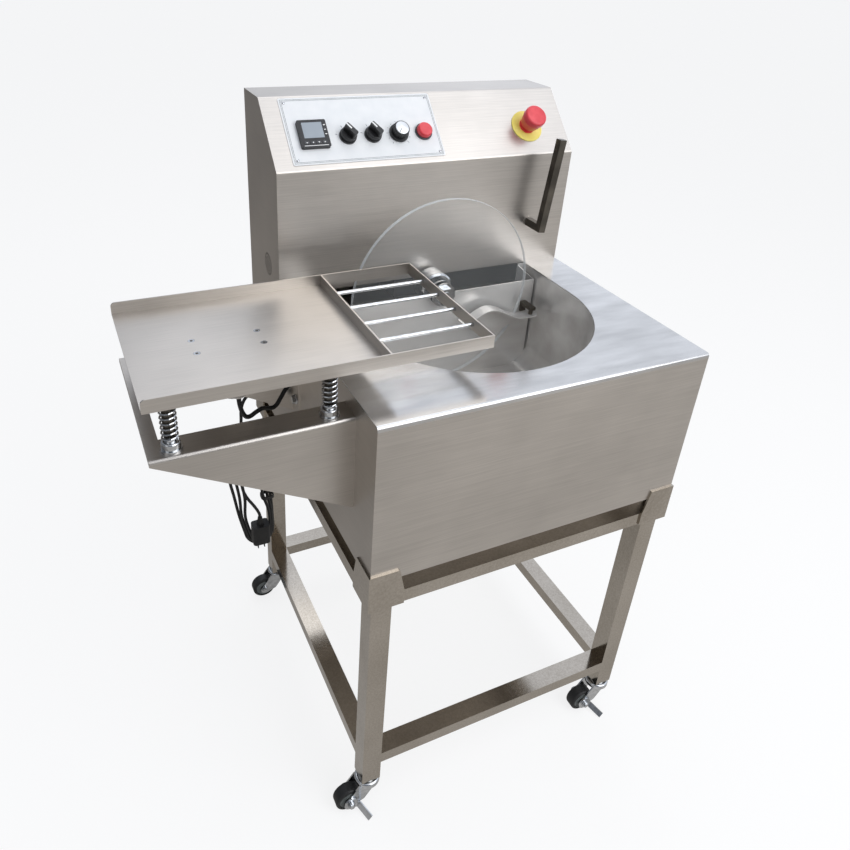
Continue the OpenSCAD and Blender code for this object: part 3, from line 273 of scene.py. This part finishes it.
# Moulded plastics: even colour, a satin sheen and a fine grain
blackAbs = mouldedSurface("blackAbsMoulded", "#151516", "#202022", 0.38, 0.8)
greyAbs = mouldedSurface("greyAbsMoulded", "#3c3d40", "#4a4b4e", 0.45, 0.8)
hubNylon = mouldedSurface("greyNylonMoulded", "#5c615f", "#747977", 0.5, 1.0)
redAbs = mouldedSurface("redAbsMoulded", "#d8323d", "#ea4b53", 0.34, 1.0, Coat_Weight=0.2)
# Printed sheet, enamel and ink: flat colour with hardly any relief
yellowPlastic = mouldedSurface("yellowPvcPrinted", "#f0e164", "#f6ea84", 0.45, 1.0)
whitePaint = mouldedSurface("whiteEnamelPanel", "#e9ebec", "#f1f2f2", 0.35, 1.5, 0.02)
whiteInk = mouldedSurface("whiteInkPrinted", "#ececea", "#f7f7f5", 0.5, 0.8, 0.02)
greyInk = mouldedSurface("greyInkPrinted", "#5a6064", "#70767a", 0.5, 0.8, 0.02)
# Display window: a smooth cover with a clear sheen over grey
screenGlass = mouldedSurface("displayGlassUnlit", "#85909a", "#98a2ab", 0.12, 4.0, 0.01, Coat_Weight=0.6)
# Spun aluminium and oxide-dark bar: metal that blurs its highlights
satinAluminium = mouldedSurface("aluminiumSpun", "#c9cbcd", "#dfe0e1", 0.3, 0.8, 0.02, Metallic=0.8)
darkBar = mouldedSurface("darkOxideSteelBar", "#4b4741", "#686259", 0.36, 2.0, 0.08, Metallic=0.8)
# Painted castings: the cast skin shows through the paint as a slight roughness
castPaint = mouldedSurface("greyPaintedCasting", "#b9b2aa", "#cbc5be", 0.42, 1.4, 0.12)
motorPaint = mouldedSurface("darkPaintedCasting", "#2f3032", "#3d3e40", 0.5, 1.4, 0.12)
# Silicone pad: dull red-brown
heaterRubber = mouldedSurface("siliconePadMoulded", "#6e3426", "#7f4030", 0.6, 1.5)
print("materials made")

slotMaterials = {
    "brushed_stainless": steel, "polished_stainless": mirror, "tube_stainless": tube, "chrome_plate": chrome,
    "clear_acrylic": acrylic, "dark_bar": darkBar, "dark_cast": motorPaint, "vibrator_grey": castPaint,
    "black_rubber": rubber, "black_plastic": blackAbs, "dark_plastic": greyAbs, "screen_grey": screenGlass,
    "white_plate": whitePaint, "red_plastic": redAbs, "yellow_plastic": yellowPlastic,
    "heater_rubber": heaterRubber,
}
for entry in frame["record"]["subparts"]:
    mesh = nodes[entry["node"]].data
    mesh.materials.clear()
    mesh.materials.append(slotMaterials[entry["material_slot"]])
# The tank and its scraper take that copy with painted light
for name in ("tank", "scraper"):
    nodes[name].data.materials[0] = tankSteelPaintedLight
print("CAD nodes finished")


def newPiece(name, data, material, body):
    piece = bpy.data.objects.new(name, data)
    scene.collection.objects.link(piece)
    piece.data.materials.append(material)
    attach(piece, body)
    return piece


# Outlines given in mm become one mesh: each solid is (place, axes, outline, height, edge)
def slabMesh(name, solids):
    mesh = bmesh.new()
    for place, axes, outline, height, edge in solids:
        low = [mesh.verts.new(place + (axes[0] * x + axes[1] * y) * mm) for x, y in outline]
        bottom = mesh.faces.new(low)
        raised = bmesh.ops.extrude_face_region(mesh, geom=[bottom])["geom"]
        top = [v for v in raised if isinstance(v, bmesh.types.BMVert)]
        bmesh.ops.translate(mesh, verts=top, vec=axes[2] * height * mm)
        if edge:
            rim = [e for e in mesh.edges if e.verts[0] in top and e.verts[1] in top]
            bmesh.ops.bevel(mesh, geom=rim, offset=edge * mm, segments=2, affect="EDGES")
    bmesh.ops.recalc_face_normals(mesh, faces=mesh.faces)
    data = bpy.data.meshes.new(name)
    mesh.to_mesh(data)
    mesh.free()
    return data


creaseAngle = 32  # degrees from which an edge of a turned form stays sharp


# Turned forms: each is (place, axes, profile of radius and height in mm)
def turnedMesh(name, forms, steps=32):
    mesh = bmesh.new()
    for place, axes, profile in forms:
        rings = []
        for radius, height in profile:
            ring = []
            for i in range(steps if radius > 0 else 1):
                angle = 2 * math.pi * i / steps
                out = axes[0] * math.cos(angle) + axes[1] * math.sin(angle)
                ring.append(mesh.verts.new(place + (out * radius + axes[2] * height) * mm))
            rings.append(ring)
        for a, b in zip(rings, rings[1:]):
            for i in range(steps):
                j = (i + 1) % steps
                if len(a) == 1:
                    mesh.faces.new((a[0], b[j], b[i]))
                elif len(b) == 1:
                    mesh.faces.new((a[i], a[j], b[0]))
                else:
                    mesh.faces.new((a[i], a[j], b[j], b[i]))
    bmesh.ops.remove_doubles(mesh, verts=mesh.verts, dist=1e-7)
    bmesh.ops.recalc_face_normals(mesh, faces=mesh.faces)
    for face in mesh.faces:
        face.smooth = True
    data = bpy.data.meshes.new(name)
    mesh.to_mesh(data)
    mesh.free()
    data.set_sharp_from_angle(angle=math.radians(creaseAngle))
    return data


def bar(length, width, x=0.0):
    return [(x, -width / 2), (x + length, -width / 2), (x + length, width / 2), (x, width / 2)]


def hexagon(acrossFlats):
    corner = acrossFlats / math.sqrt(3)
    return [(corner * math.cos(math.pi / 3 * i), corner * math.sin(math.pi / 3 * i)) for i in range(6)]


axisX, axisY, axisZ = Vector((1, 0, 0)), Vector((0, 1, 0)), Vector((0, 0, 1))

# The sloped panel: its foot, its rise and the row of controls, as in the part's source
panelSpec = {"foot": (404, 207), "rise": (91, 95), "row": 54.78, "plate": (30, 9.55, 267, 118),
             "plateTop": 1.0}
panelLean = math.atan2(panelSpec["rise"][1], panelSpec["rise"][0])
upSlope = Vector((0, math.cos(panelLean), math.sin(panelLean)))
outward = Vector((0, -math.sin(panelLean), math.cos(panelLean)))
inkHeight = 0.15  # mm that a printed mark stands up


def panelAt(u, v, lift):
    return at(u, *panelSpec["foot"]) + (upSlope * v + outward * lift) * mm


def panelAxes(degrees=0.0):
    turn = math.radians(degrees)
    return (axisX * math.cos(turn) + upSlope * math.sin(turn),
            upSlope * math.cos(turn) - axisX * math.sin(turn), outward)


# Border lines and corner screws of the control plate
plateTrim = {"insets": (3.0, 5.0), "line": 0.5, "screwInset": 8.5, "screwRadius": 2.4}


def buildPlateTrim(spec):
    left, foot, width, height = panelSpec["plate"]
    face = panelSpec["plateTop"]
    lines = []
    for inset in spec["insets"]:
        level = bar(width - 2 * inset, spec["line"])
        upright = bar(height - 2 * inset, spec["line"])
        for v in (foot + inset, foot + height - inset):
            lines.append((panelAt(left + inset, v, face), panelAxes(), level, inkHeight, 0))
        for u in (left + inset, left + width - inset):
            lines.append((panelAt(u, foot + inset, face), panelAxes(90), upright, inkHeight, 0))
    newPiece("plateBorder", slabMesh("plateBorder", lines), greyInk, "machine")
    radius, inset = spec["screwRadius"], spec["screwInset"]
    head = [(0, 0.5), (0.9, 0.5), (1.0, 1.3), (radius * 0.7, 1.1), (radius, 0.5), (radius, 0), (0, 0)]
    heads = [(panelAt(u, v, face), panelAxes(), head)
             for u in (left + inset, left + width - inset) for v in (foot + inset, foot + height - inset)]
    newPiece("plateScrews", turnedMesh("plateScrews", heads, 20), chrome, "machine")


buildPlateTrim(plateTrim)

# White pointers on the selectors' grips, and two printed stops beside each
selectorTrim = {
    "left": 131, "right": 175,
    "grip": 35,  # degrees that the grips stand turned
    "gripTop": 25.3,
    "pointer": (12.0, 2.6), "pointerStart": 0.4, "pointerShort": 0.6, "drop": 9,
    "strip": 0.2, "stripEdge": 0.08,
    "stops": (20, 75), "stopRadius": 17.5, "stop": (3.5, 0.8),
}


def buildSelectorTrim(spec):
    row = panelSpec["row"]
    along = panelAxes(90 + spec["grip"])
    length, width = spec["pointer"]
    onTop = bar(length - spec["pointerShort"], width, spec["pointerStart"])
    stops = []
    for side in ("left", "right"):
        u = spec[side]
        grip = panelAt(u, row, spec["gripTop"])
        downEnd = (-along[2], along[1], along[0])
        strips = [(grip, along, onTop, spec["strip"], spec["stripEdge"]),
                  (grip + along[0] * length * mm, downEnd, bar(spec["drop"], width), spec["strip"],
                   spec["stripEdge"])]
        name = "selectorPointer" + side.title()
        newPiece(name, slabMesh(name, strips), whiteInk, "selector_" + side)
        for angle in spec["stops"]:
            out = panelAxes(90 + angle)
            place = panelAt(u, row, panelSpec["plateTop"]) + out[0] * spec["stopRadius"] * mm
            stops.append((place, out, bar(*spec["stop"]), inkHeight, 0))
    newPiece("selectorStops", slabMesh("selectorStops", stops), greyInk, "machine")


buildSelectorTrim(selectorTrim)

# Spun cap on the speed knob with a pointer, and its ring of ticks
speedTrim = {
    "u": 221.5, "capBase": 18.9, "capRadius": 11.4,
    "pointer": (9.0, 1.2, 1.5), "pointerLift": 1.4, "pointerHeight": 0.25, "pointerEdge": 0.05,
    "ticks": 11, "sweep": 280, "tickRadius": 19, "tickWidth": 0.6,
    "longTick": 4.0, "shortTick": 2.4, "longEvery": 5,
}


def buildSpeedTrim(spec):
    u, row, radius = spec["u"], panelSpec["row"], spec["capRadius"]
    cap = [(0, 1.5), (radius * 0.55, 1.5), (radius * 0.6, 1.3), (radius * 0.9, 1.3),
           (radius, 0.9), (radius, 0), (0, 0)]
    newPiece("speedCap", turnedMesh("speedCap", [(panelAt(u, row, spec["capBase"]), panelAxes(), cap)]),
             satinAluminium, "speed_knob")
    pointer = (panelAt(u, row, spec["capBase"] + spec["pointerLift"]), panelAxes(90 + spec["sweep"] / 2),
               bar(*spec["pointer"]), spec["pointerHeight"], spec["pointerEdge"])
    newPiece("speedPointer", slabMesh("speedPointer", [pointer]), greyInk, "speed_knob")
    ticks = []
    for i in range(spec["ticks"]):
        out = panelAxes(90 + spec["sweep"] * (0.5 - i / (spec["ticks"] - 1)))
        place = panelAt(u, row, panelSpec["plateTop"]) + out[0] * spec["tickRadius"] * mm
        length = spec["shortTick"] if i % spec["longEvery"] else spec["longTick"]
        ticks.append((place, out, bar(length, spec["tickWidth"]), inkHeight, 0))
    newPiece("speedTicks", slabMesh("speedTicks", ticks), greyInk, "machine")


buildSpeedTrim(speedTrim)

# Dark ring around the pilot lamp's lens
lampTrim = {"u": 267.5, "inner": 13.15, "outer": 15.2, "height": 3.8, "edge": (0.6, 0.8), "inside": 0.5}


def buildLampRing(spec):
    inner, outer, height = spec["inner"], spec["outer"], spec["height"]
    edgeIn, edgeDown = spec["edge"]
    ring = [(inner, spec["inside"]), (inner, height), (outer - edgeIn, height), (outer, height - edgeDown),
            (outer, 0), (inner, spec["inside"])]
    place = panelAt(spec["u"], panelSpec["row"], panelSpec["plateTop"])
    newPiece("lampRing", turnedMesh("lampRing", [(place, panelAxes(), ring)]), greyAbs, "machine")


buildLampRing(lampTrim)

# Printed column beside the controller's screen, its lower line, and a mark on each key
controllerTrim = {
    "u": 73, "v": 59.78, "face": 8.0,
    "columnAt": 20.3, "columnHeights": (14, 6, -2), "columnMark": (3.2, 1.4),
    "lineAt": (-20, -21.2), "line": (40, 1.0),
    "keys": (-15, -5, 5, 15), "keyRow": -16, "keyTop": 8.7, "arrow": 1.3,
}


def buildControllerTrim(spec):
    u, v, face = spec["u"], spec["v"], spec["face"]
    length, width = spec["columnMark"]
    column = u + spec["columnAt"] - length / 2
    marks = [(panelAt(column, v + height, face), panelAxes(), bar(length, width), inkHeight, 0)
             for height in spec["columnHeights"]]
    lineU, lineV = spec["lineAt"]
    marks.append((panelAt(u + lineU, v + lineV, face), panelAxes(), bar(*spec["line"]), inkHeight, 0))
    newPiece("controllerMarks", slabMesh("controllerMarks", marks), whiteInk, "machine")
    size = spec["arrow"]
    arrow = [(-size, -size * 0.7), (size, -size * 0.7), (0, size * 0.9)]
    for i, x in enumerate(spec["keys"]):
        mark = (panelAt(u + x, v + spec["keyRow"], spec["keyTop"]), panelAxes(90 * i), arrow, inkHeight, 0)
        name = "keyMark" + str(i + 1)
        newPiece(name, slabMesh(name, [mark]), whiteInk, "key_" + str(i + 1))


buildControllerTrim(controllerTrim)
print("control panel dressed")

# Frosted sawn edge of the clear wheel
wheelEdge = {"centre": (277.5, 344, -11.5), "radius": 171, "width": 8, "skin": 0.35, "sunk": 0.2,
             "inset": (0.4, 0.8)}


def buildWheelEdge(spec):
    inner, outer, width = spec["radius"] - spec["sunk"], spec["radius"] + spec["skin"], spec["width"]
    foot, shoulder = spec["inset"]
    band = [(inner, foot), (outer, shoulder), (outer, width - shoulder), (inner, width - foot), (inner, foot)]
    form = (at(*spec["centre"]), (axisX, -axisZ, axisY), band)
    newPiece("wheelEdge", turnedMesh("wheelEdge", [form], 160), acrylicEdge, "wheel")


buildWheelEdge(wheelEdge)

# Castors: nylon hub plates in the wheels' dished sides and nuts on the axles
castorTrim = {
    "at": {"fl": (23, 23), "fr": (532, 23), "rl": (23, 553), "rr": (532, 553)},
    "trail": 36, "axle": -807, "half": 11, "plate": (9.3, 18.4), "dish": 1.9,
    "axleEnds": {"f": (-22.1, 18.5), "r": (-18.5, 18.5)},  # the front axles also carry the brakes
    "nutWidth": 9, "nutHeight": 2.6, "nutEdge": 0.5, "nutSunk": 0.2,
}


def buildCastorTrim(spec):
    inner, outer = spec["plate"]
    plate = [(inner, 0), (inner, 1.7), (inner + 1.5, 1.7), (inner + 2.5, 0.9),
             (outer - 3, 0.9), (outer - 2, 1.6), (outer, 1.2), (outer, 0), (inner, 0)]
    for corner, (x, y) in spec["at"].items():
        middle = at(x - spec["trail"], y, spec["axle"])
        plates, nuts = [], []
        for side in (-1, 1):
            place = middle + axisY * side * (spec["half"] - spec["dish"]) * mm
            plates.append((place, (axisX, axisZ * -side, axisY * side), plate))
        for end in spec["axleEnds"][corner[0]]:
            side = math.copysign(1, end)
            place = middle + axisY * (end - spec["nutSunk"] * side) * mm
            nuts.append((place, (axisX, axisZ * -side, axisY * side), hexagon(spec["nutWidth"]),
                         spec["nutHeight"], spec["nutEdge"]))
        plateName, nutName = "hubPlates" + corner.title(), "axleNuts" + corner.title()
        newPiece(plateName, turnedMesh(plateName, plates), hubNylon, "castor_wheel_" + corner)
        newPiece(nutName, slabMesh(nutName, nuts), chrome, "castor_fork_" + corner)


buildCastorTrim(castorTrim)

# Screws around the rear cover: all along its top and foot, and halfway up its two sides
coverTrim = {"back": 576, "xs": (9, 142, 277, 413, 546), "zs": (8, 150, 293), "radius": 4.2}


def buildCoverScrews(spec):
    radius = spec["radius"]
    head = [(0, 1.0), (1.3, 1.0), (1.5, 2.4), (radius * 0.65, 2.1), (radius, 0.9), (radius, -0.2), (0, -0.2)]
    foot, halfway, top = spec["zs"]
    sides = (spec["xs"][0], spec["xs"][-1])
    spots = [(x, z) for x in spec["xs"] for z in (foot, halfway, top) if z != halfway or x in sides]
    heads = [(at(x, spec["back"], z), (axisX, -axisZ, axisY), head) for x, z in spots]
    newPiece("coverScrews", turnedMesh("coverScrews", heads, 20), chrome, "machine")


buildCoverScrews(coverTrim)

# Hexagon bolts and washers that hold the table's bracket to the body's side
bracketBolts = {"face": -3, "ys": (86, 318), "zs": (-72, -150), "width": 13, "height": 5.5, "edge": 0.7,
                "lift": 1.3, "washer": 9}


def buildBracketBolts(spec):
    axes = (axisY, axisZ, -axisX)
    wide = spec["washer"]
    washer = [(0, 1.5), (wide - 0.4, 1.5), (wide, 1.1), (wide, -0.2), (0, -0.2)]
    bolts, washers = [], []
    for y in spec["ys"]:
        for z in spec["zs"]:
            spot = at(spec["face"], y, z)
            bolts.append((spot - axisX * spec["lift"] * mm, axes, hexagon(spec["width"]), spec["height"],
                          spec["edge"]))
            washers.append((spot, axes, washer))
    newPiece("bracketBolts", slabMesh("bracketBolts", bolts), chrome, "machine")
    newPiece("bracketWashers", turnedMesh("bracketWashers", washers, 28), chrome, "machine")


buildBracketBolts(bracketBolts)

# Flat dark hexagons on the countersunk screws that hold the vibrator under the table: painted shade where
# their sockets are
tableScrews = {"xs": (-180, -90), "ys": (183, 219), "top": 43.9, "shadeAcross": 4.0, "height": 0.1}


def buildSocketShade(spec):
    foot = spec["top"] - spec["height"] / 2
    sockets = [(at(x, y, foot), (axisX, axisY, axisZ), hexagon(spec["shadeAcross"]), spec["height"], 0)
               for x in spec["xs"] for y in spec["ys"]]
    newPiece("paintedSocketShade", slabMesh("paintedSocketShade", sockets), darkBar, "table")


buildSocketShade(tableScrews)
print("fittings added")


def cordCurve(name, points, diameter):
    data = bpy.data.curves.new(name, "CURVE")
    data.dimensions = "3D"
    data.bevel_depth = diameter / 2
    data.bevel_resolution = 4
    data.use_fill_caps = True
    spline = data.splines.new("POLY")
    spline.points.add(len(points) - 1)
    for spot, point in zip(spline.points, points):
        spot.co = (*point, 1)
    spline.use_smooth = True
    return data


# Smooth line through the given points
def smoothRoute(points, steps=6):
    padded = [2 * points[0] - points[1], *points, 2 * points[-1] - points[-2]]
    route = []
    for a, b, c, d in zip(padded, padded[1:], padded[2:], padded[3:]):
        for i in range(steps):
            t = i / steps
            route.append(0.5 * (2 * b + (c - a) * t + (2 * a - 5 * b + 4 * c - d) * t * t
                                + (3 * b - a - 3 * c + d) * t ** 3))
    return route + [points[-1]]


vibratorLead = {
    "diameter": 6.5,
    "points": [
        (-130, 178, -26), (-130, 177, -36), (-129, 175, -47), (-126, 175, -58), (-121, 176, -66),
        (-114, 180, -69), (-105, 184, -67), (-94, 190, -67), (-84, 195, -72), (-75, 200, -76),
        (-68, 204, -74), (-61, 208, -67), (-53, 212, -58), (-44, 215, -51), (-34, 216, -47),
        (-26, 216, -45), (-18, 216, -45)],
}
leadRoute = smoothRoute([at(*point) for point in vibratorLead["points"]])
cable = newPiece("vibratorLead", cordCurve("vibratorLead", leadRoute, vibratorLead["diameter"] * mm), rubber,
                 "machine")
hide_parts("vibrator_cable")

mainsCord = {
    "diameter": 6.0,
    "lead": [
        (-30, 450, -205), (-40, 450, -206), (-50, 450, -211), (-58, 450, -220), (-63, 450, -232),
        (-65, 451, -246), (-65, 453, -262), (-66, 455, -280), (-69, 457, -300), (-75, 458, -322),
        (-83, 459, -346), (-89, 459, -368)],
    "tail": [
        (-75, 434, -405), (-72, 431, -420), (-66, 428, -434), (-59, 426, -446), (-53, 424, -457),
        (-49, 423, -466), (-46.5, 423, -474), (-46, 423, -480)],
    "hankMiddle": (-48, 450, -467),
    "hankWidth": 82,
    "hankHeight": 230,
    "hankLean": 6,  # degrees
    "turns": 3,
    "turnPitch": 6.3,  # each turn lies in front of the last
    "turnInset": 9.0,  # and inside it
    "firstTurn": 1.4,  # pitches that the first turn lies behind the middle
    "footShare": (0.76, 0.1),  # width of the foot against the top, and its gain with each turn
}


# Oval turns that narrow downwards: down the left, round the bottom, up the right and over the top
def hankTurns(spec):
    middleX, middleY, middleZ = spec["hankMiddle"]
    lean = math.radians(spec["hankLean"])
    straight = (spec["hankHeight"] - spec["hankWidth"]) / 2
    narrow, gain = spec["footShare"]
    eighths = [math.pi * i / 8 for i in range(9)]
    first = middleY + spec["turnPitch"] * spec["firstTurn"]
    turns = []
    for turn in range(spec["turns"]):
        bend = (spec["hankWidth"] - spec["diameter"]) / 2 - spec["turnInset"] * turn
        foot = bend * (narrow + gain * turn)
        oval = [(-bend, straight), (-bend + 2, straight / 3), (-foot - 5, -straight / 3)]
        oval += [(-foot * math.cos(a), -straight - bend * math.sin(a)) for a in eighths]
        oval += [(foot + 4, -straight / 3), (bend - 3, straight / 3)]
        oval += [(bend * math.cos(a), straight + bend * math.sin(a)) for a in eighths[:-1]]
        for i, (x, z) in enumerate(oval):
            turns.append((middleX + x * math.cos(lean) - z * math.sin(lean),
                          first - spec["turnPitch"] * (turn + i / len(oval)),
                          middleZ + z * math.cos(lean) + x * math.sin(lean)))
    return turns


cordPoints = mainsCord["lead"] + hankTurns(mainsCord) + mainsCord["tail"]
cordRoute = smoothRoute([at(*point) for point in cordPoints])
cord = newPiece("mainsCord", cordCurve("mainsCord", cordRoute, mainsCord["diameter"] * mm), rubber, "machine")
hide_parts("cord_lead", "cord_hank")

# Strap around the strands on the hank's right side
hankTie = {"height": -452, "width": 9, "thick": 1.3, "slack": 0.4, "rightOf": 8, "steps": 40,
           "section": ((0, 0), (1, 0.15), (1, 0.85), (0, 1))}  # shares of the thickness and of the width


def buildHankTie(spec, strands):
    level = at(0, 0, spec["height"]).z
    rightSide = at(*mainsCord["hankMiddle"]).x + spec["rightOf"] * mm
    cuts = []
    for a, b in zip(strands, strands[1:]):
        if (a.z - level) * (b.z - level) <= 0 and a.z != b.z and a.x > rightSide:
            cuts.append(a.lerp(b, (level - a.z) / (b.z - a.z)))
    xs, ys = [p.x for p in cuts], [p.y for p in cuts]
    reach = (mainsCord["diameter"] / 2 + spec["slack"]) * mm
    halfX, halfY = (max(xs) - min(xs)) / 2 + reach, (max(ys) - min(ys)) / 2 + reach
    centre = Vector(((max(xs) + min(xs)) / 2, (max(ys) + min(ys)) / 2, level - spec["width"] / 2 * mm))
    band = bmesh.new()
    rings = []
    for grow, lift in spec["section"]:
        out = spec["thick"] * mm * grow
        ring = []
        for i in range(spec["steps"]):
            angle = 2 * math.pi * i / spec["steps"]
            x, y = math.cos(angle), math.sin(angle)
            rounded = 1 / (x ** 4 + y ** 4) ** 0.25  # turns the circle into a rounded rectangle
            spot = Vector((x * rounded * (halfX + out), y * rounded * (halfY + out),
                           spec["width"] * mm * lift))
            ring.append(band.verts.new(centre + spot))
        rings.append(ring)
    for a, b in zip(rings, rings[1:] + rings[:1]):
        for i in range(spec["steps"]):
            j = (i + 1) % spec["steps"]
            band.faces.new((a[i], a[j], b[j], b[i]))
    bmesh.ops.recalc_face_normals(band, faces=band.faces)
    data = bpy.data.meshes.new("hankTie")
    band.to_mesh(data)
    band.free()
    return newPiece("hankTie", data, blackAbs, "machine")


tie = buildHankTie(hankTie, cordRoute)

# Pale surround: the camera and clear sheet see white, metal mirrors a dark and a bright side
surroundSpec = {
    "matt": 0.62,  # strength on matt surfaces
    "mirrored": (0.25, 1.2),  # strength that metal mirrors, on the dark and on the bright side
    "brightSide": (0.5, 0.1, 0.4),
    "span": (0.05, 0.45),  # where the dark side ends and the bright side starts
    "colour": "#ecf2fd",
    "seen": "#ffffff",
}


def buildSurround(spec):
    world = bpy.data.worlds.new("studioWorld")
    scene.world = world
    world.use_nodes = True
    tree = world.node_tree
    background = tree.nodes["Background"]
    ray = addNode(tree, "ShaderNodeLightPath")
    place = addNode(tree, "ShaderNodeTexCoord")
    side = addNode(tree, "ShaderNodeVectorMath", {1: spec["brightSide"]}, {0: place.outputs["Generated"]},
                   operation="DOT_PRODUCT")
    start, end = spec["span"]
    dim, bright = spec["mirrored"]
    sky = addNode(tree, "ShaderNodeMapRange",
                  {"From Min": start, "From Max": end, "To Min": dim, "To Max": bright},
                  {"Value": side.outputs["Value"]})
    lit = addNode(tree, "ShaderNodeMix", {"A": spec["matt"]},
                  {"Factor": ray.outputs["Is Glossy Ray"], "B": sky.outputs["Result"]})
    seen = addNode(tree, "ShaderNodeMath", operation="MAXIMUM",
                   links={0: ray.outputs["Is Camera Ray"], 1: ray.outputs["Is Transmission Ray"]})
    level = addNode(tree, "ShaderNodeMix", {"B": 1.0},
                    {"Factor": seen.outputs[0], "A": lit.outputs["Result"]})
    colour = addNode(tree, "ShaderNodeMix", {6: linear(spec["colour"]), 7: linear(spec["seen"])},
                     {0: seen.outputs[0]}, data_type="RGBA")
    tree.links.new(colour.outputs[2], background.inputs["Color"])
    tree.links.new(level.outputs["Result"], background.inputs["Strength"])


buildSurround(surroundSpec)

# Paper floor: white to the camera with a faint shadow, greyer where it throws light back on the object
floorSpec = {
    "size": 60.0,  # metres
    "colour": "#958d83",
    "seen": "#ffffff",
    "rough": 0.9,
    "glow": 0.8,  # share of plain white that the camera and clear sheet see, the rest keeps the shadow
    "mirrored": (0.05, 0.4),  # share of white that metal mirrors, behind on the left and in front: a painted glow, dim behind on the left as painted shade and bright in front as painted light
    "front": (0.5, -0.85, 0.0),
    "span": (-1.0, 0.3),  # metres towards the front between which that share grows
}


def buildFloor(spec):
    bpy.ops.mesh.primitive_plane_add(size=spec["size"], location=(0, 0, 0))
    floor = bpy.context.object
    floor.name = "studioFloor"
    material, tree, shader, fields = newMaterial("palePaperSweep", {}, Roughness=spec["rough"])
    glow = addNode(tree, "ShaderNodeEmission", {"Color": linear(spec["seen"]), "Strength": 1.0})
    ray = addNode(tree, "ShaderNodeLightPath")
    place = addNode(tree, "ShaderNodeTexCoord")
    front = addNode(tree, "ShaderNodeVectorMath", {1: spec["front"]}, {0: place.outputs["Object"]},
                    operation="DOT_PRODUCT")
    start, end = spec["span"]
    dim, bright = spec["mirrored"]
    mirrored = addNode(tree, "ShaderNodeMapRange",
                       {"From Min": start, "From Max": end, "To Min": dim, "To Max": bright},
                       {"Value": front.outputs["Value"]})
    glossy = addNode(tree, "ShaderNodeMath", operation="MULTIPLY",
                     links={0: ray.outputs["Is Glossy Ray"], 1: mirrored.outputs["Result"]})
    seen = addNode(tree, "ShaderNodeMath", operation="MAXIMUM",
                   links={0: ray.outputs["Is Camera Ray"], 1: ray.outputs["Is Transmission Ray"]})
    paper = addNode(tree, "ShaderNodeMix", {6: linear(spec["colour"]), 7: linear(spec["seen"])},
                    {0: seen.outputs[0]}, data_type="RGBA")
    tree.links.new(paper.outputs[2], shader.inputs["Base Color"])
    total = addNode(tree, "ShaderNodeMix", {"B": spec["glow"]},
                    {"Factor": seen.outputs[0], "A": glossy.outputs[0]})
    mix = addNode(tree, "ShaderNodeMixShader", links={
        "Fac": total.outputs["Result"], 1: shader.outputs["BSDF"], 2: glow.outputs["Emission"]})
    tree.links.new(mix.outputs["Shader"], tree.nodes["Material Output"].inputs["Surface"])
    floor.data.materials.append(material)


buildFloor(floorSpec)

# Soft round lamps, with places in metres from the middle of the floor
lampSpec = {
    "aim": (0, 0, 0.7),
    "lamps": {
        "keyLamp": {"place": (1.0, -1.1, 3.0), "size": 2.0, "watts": 12},
        "frontLamp": {"place": (1.2, -2.4, 2.2), "size": 2.6, "watts": 36},
        "sideLamp": {"place": (-2.4, -1.4, 2.4), "size": 1.6, "watts": 5},
        "topLamp": {"place": (0.4, 1.4, 3.4), "size": 2.4, "watts": 14},
    },
}


def hangLamps(spec):
    for name, kind in spec["lamps"].items():
        data = bpy.data.lights.new(name, "AREA")
        data.shape = "DISK"
        data.size = kind["size"]
        data.energy = kind["watts"]
        lamp = bpy.data.objects.new(name, data)
        lamp.location = kind["place"]
        lamp.rotation_mode = "QUATERNION"
        lamp.rotation_quaternion = (Vector(spec["aim"]) - Vector(kind["place"])).to_track_quat("-Z", "Y")
        scene.collection.objects.link(lamp)


hangLamps(lampSpec)
scene.view_settings.view_transform = "Standard"
print("studio lit")
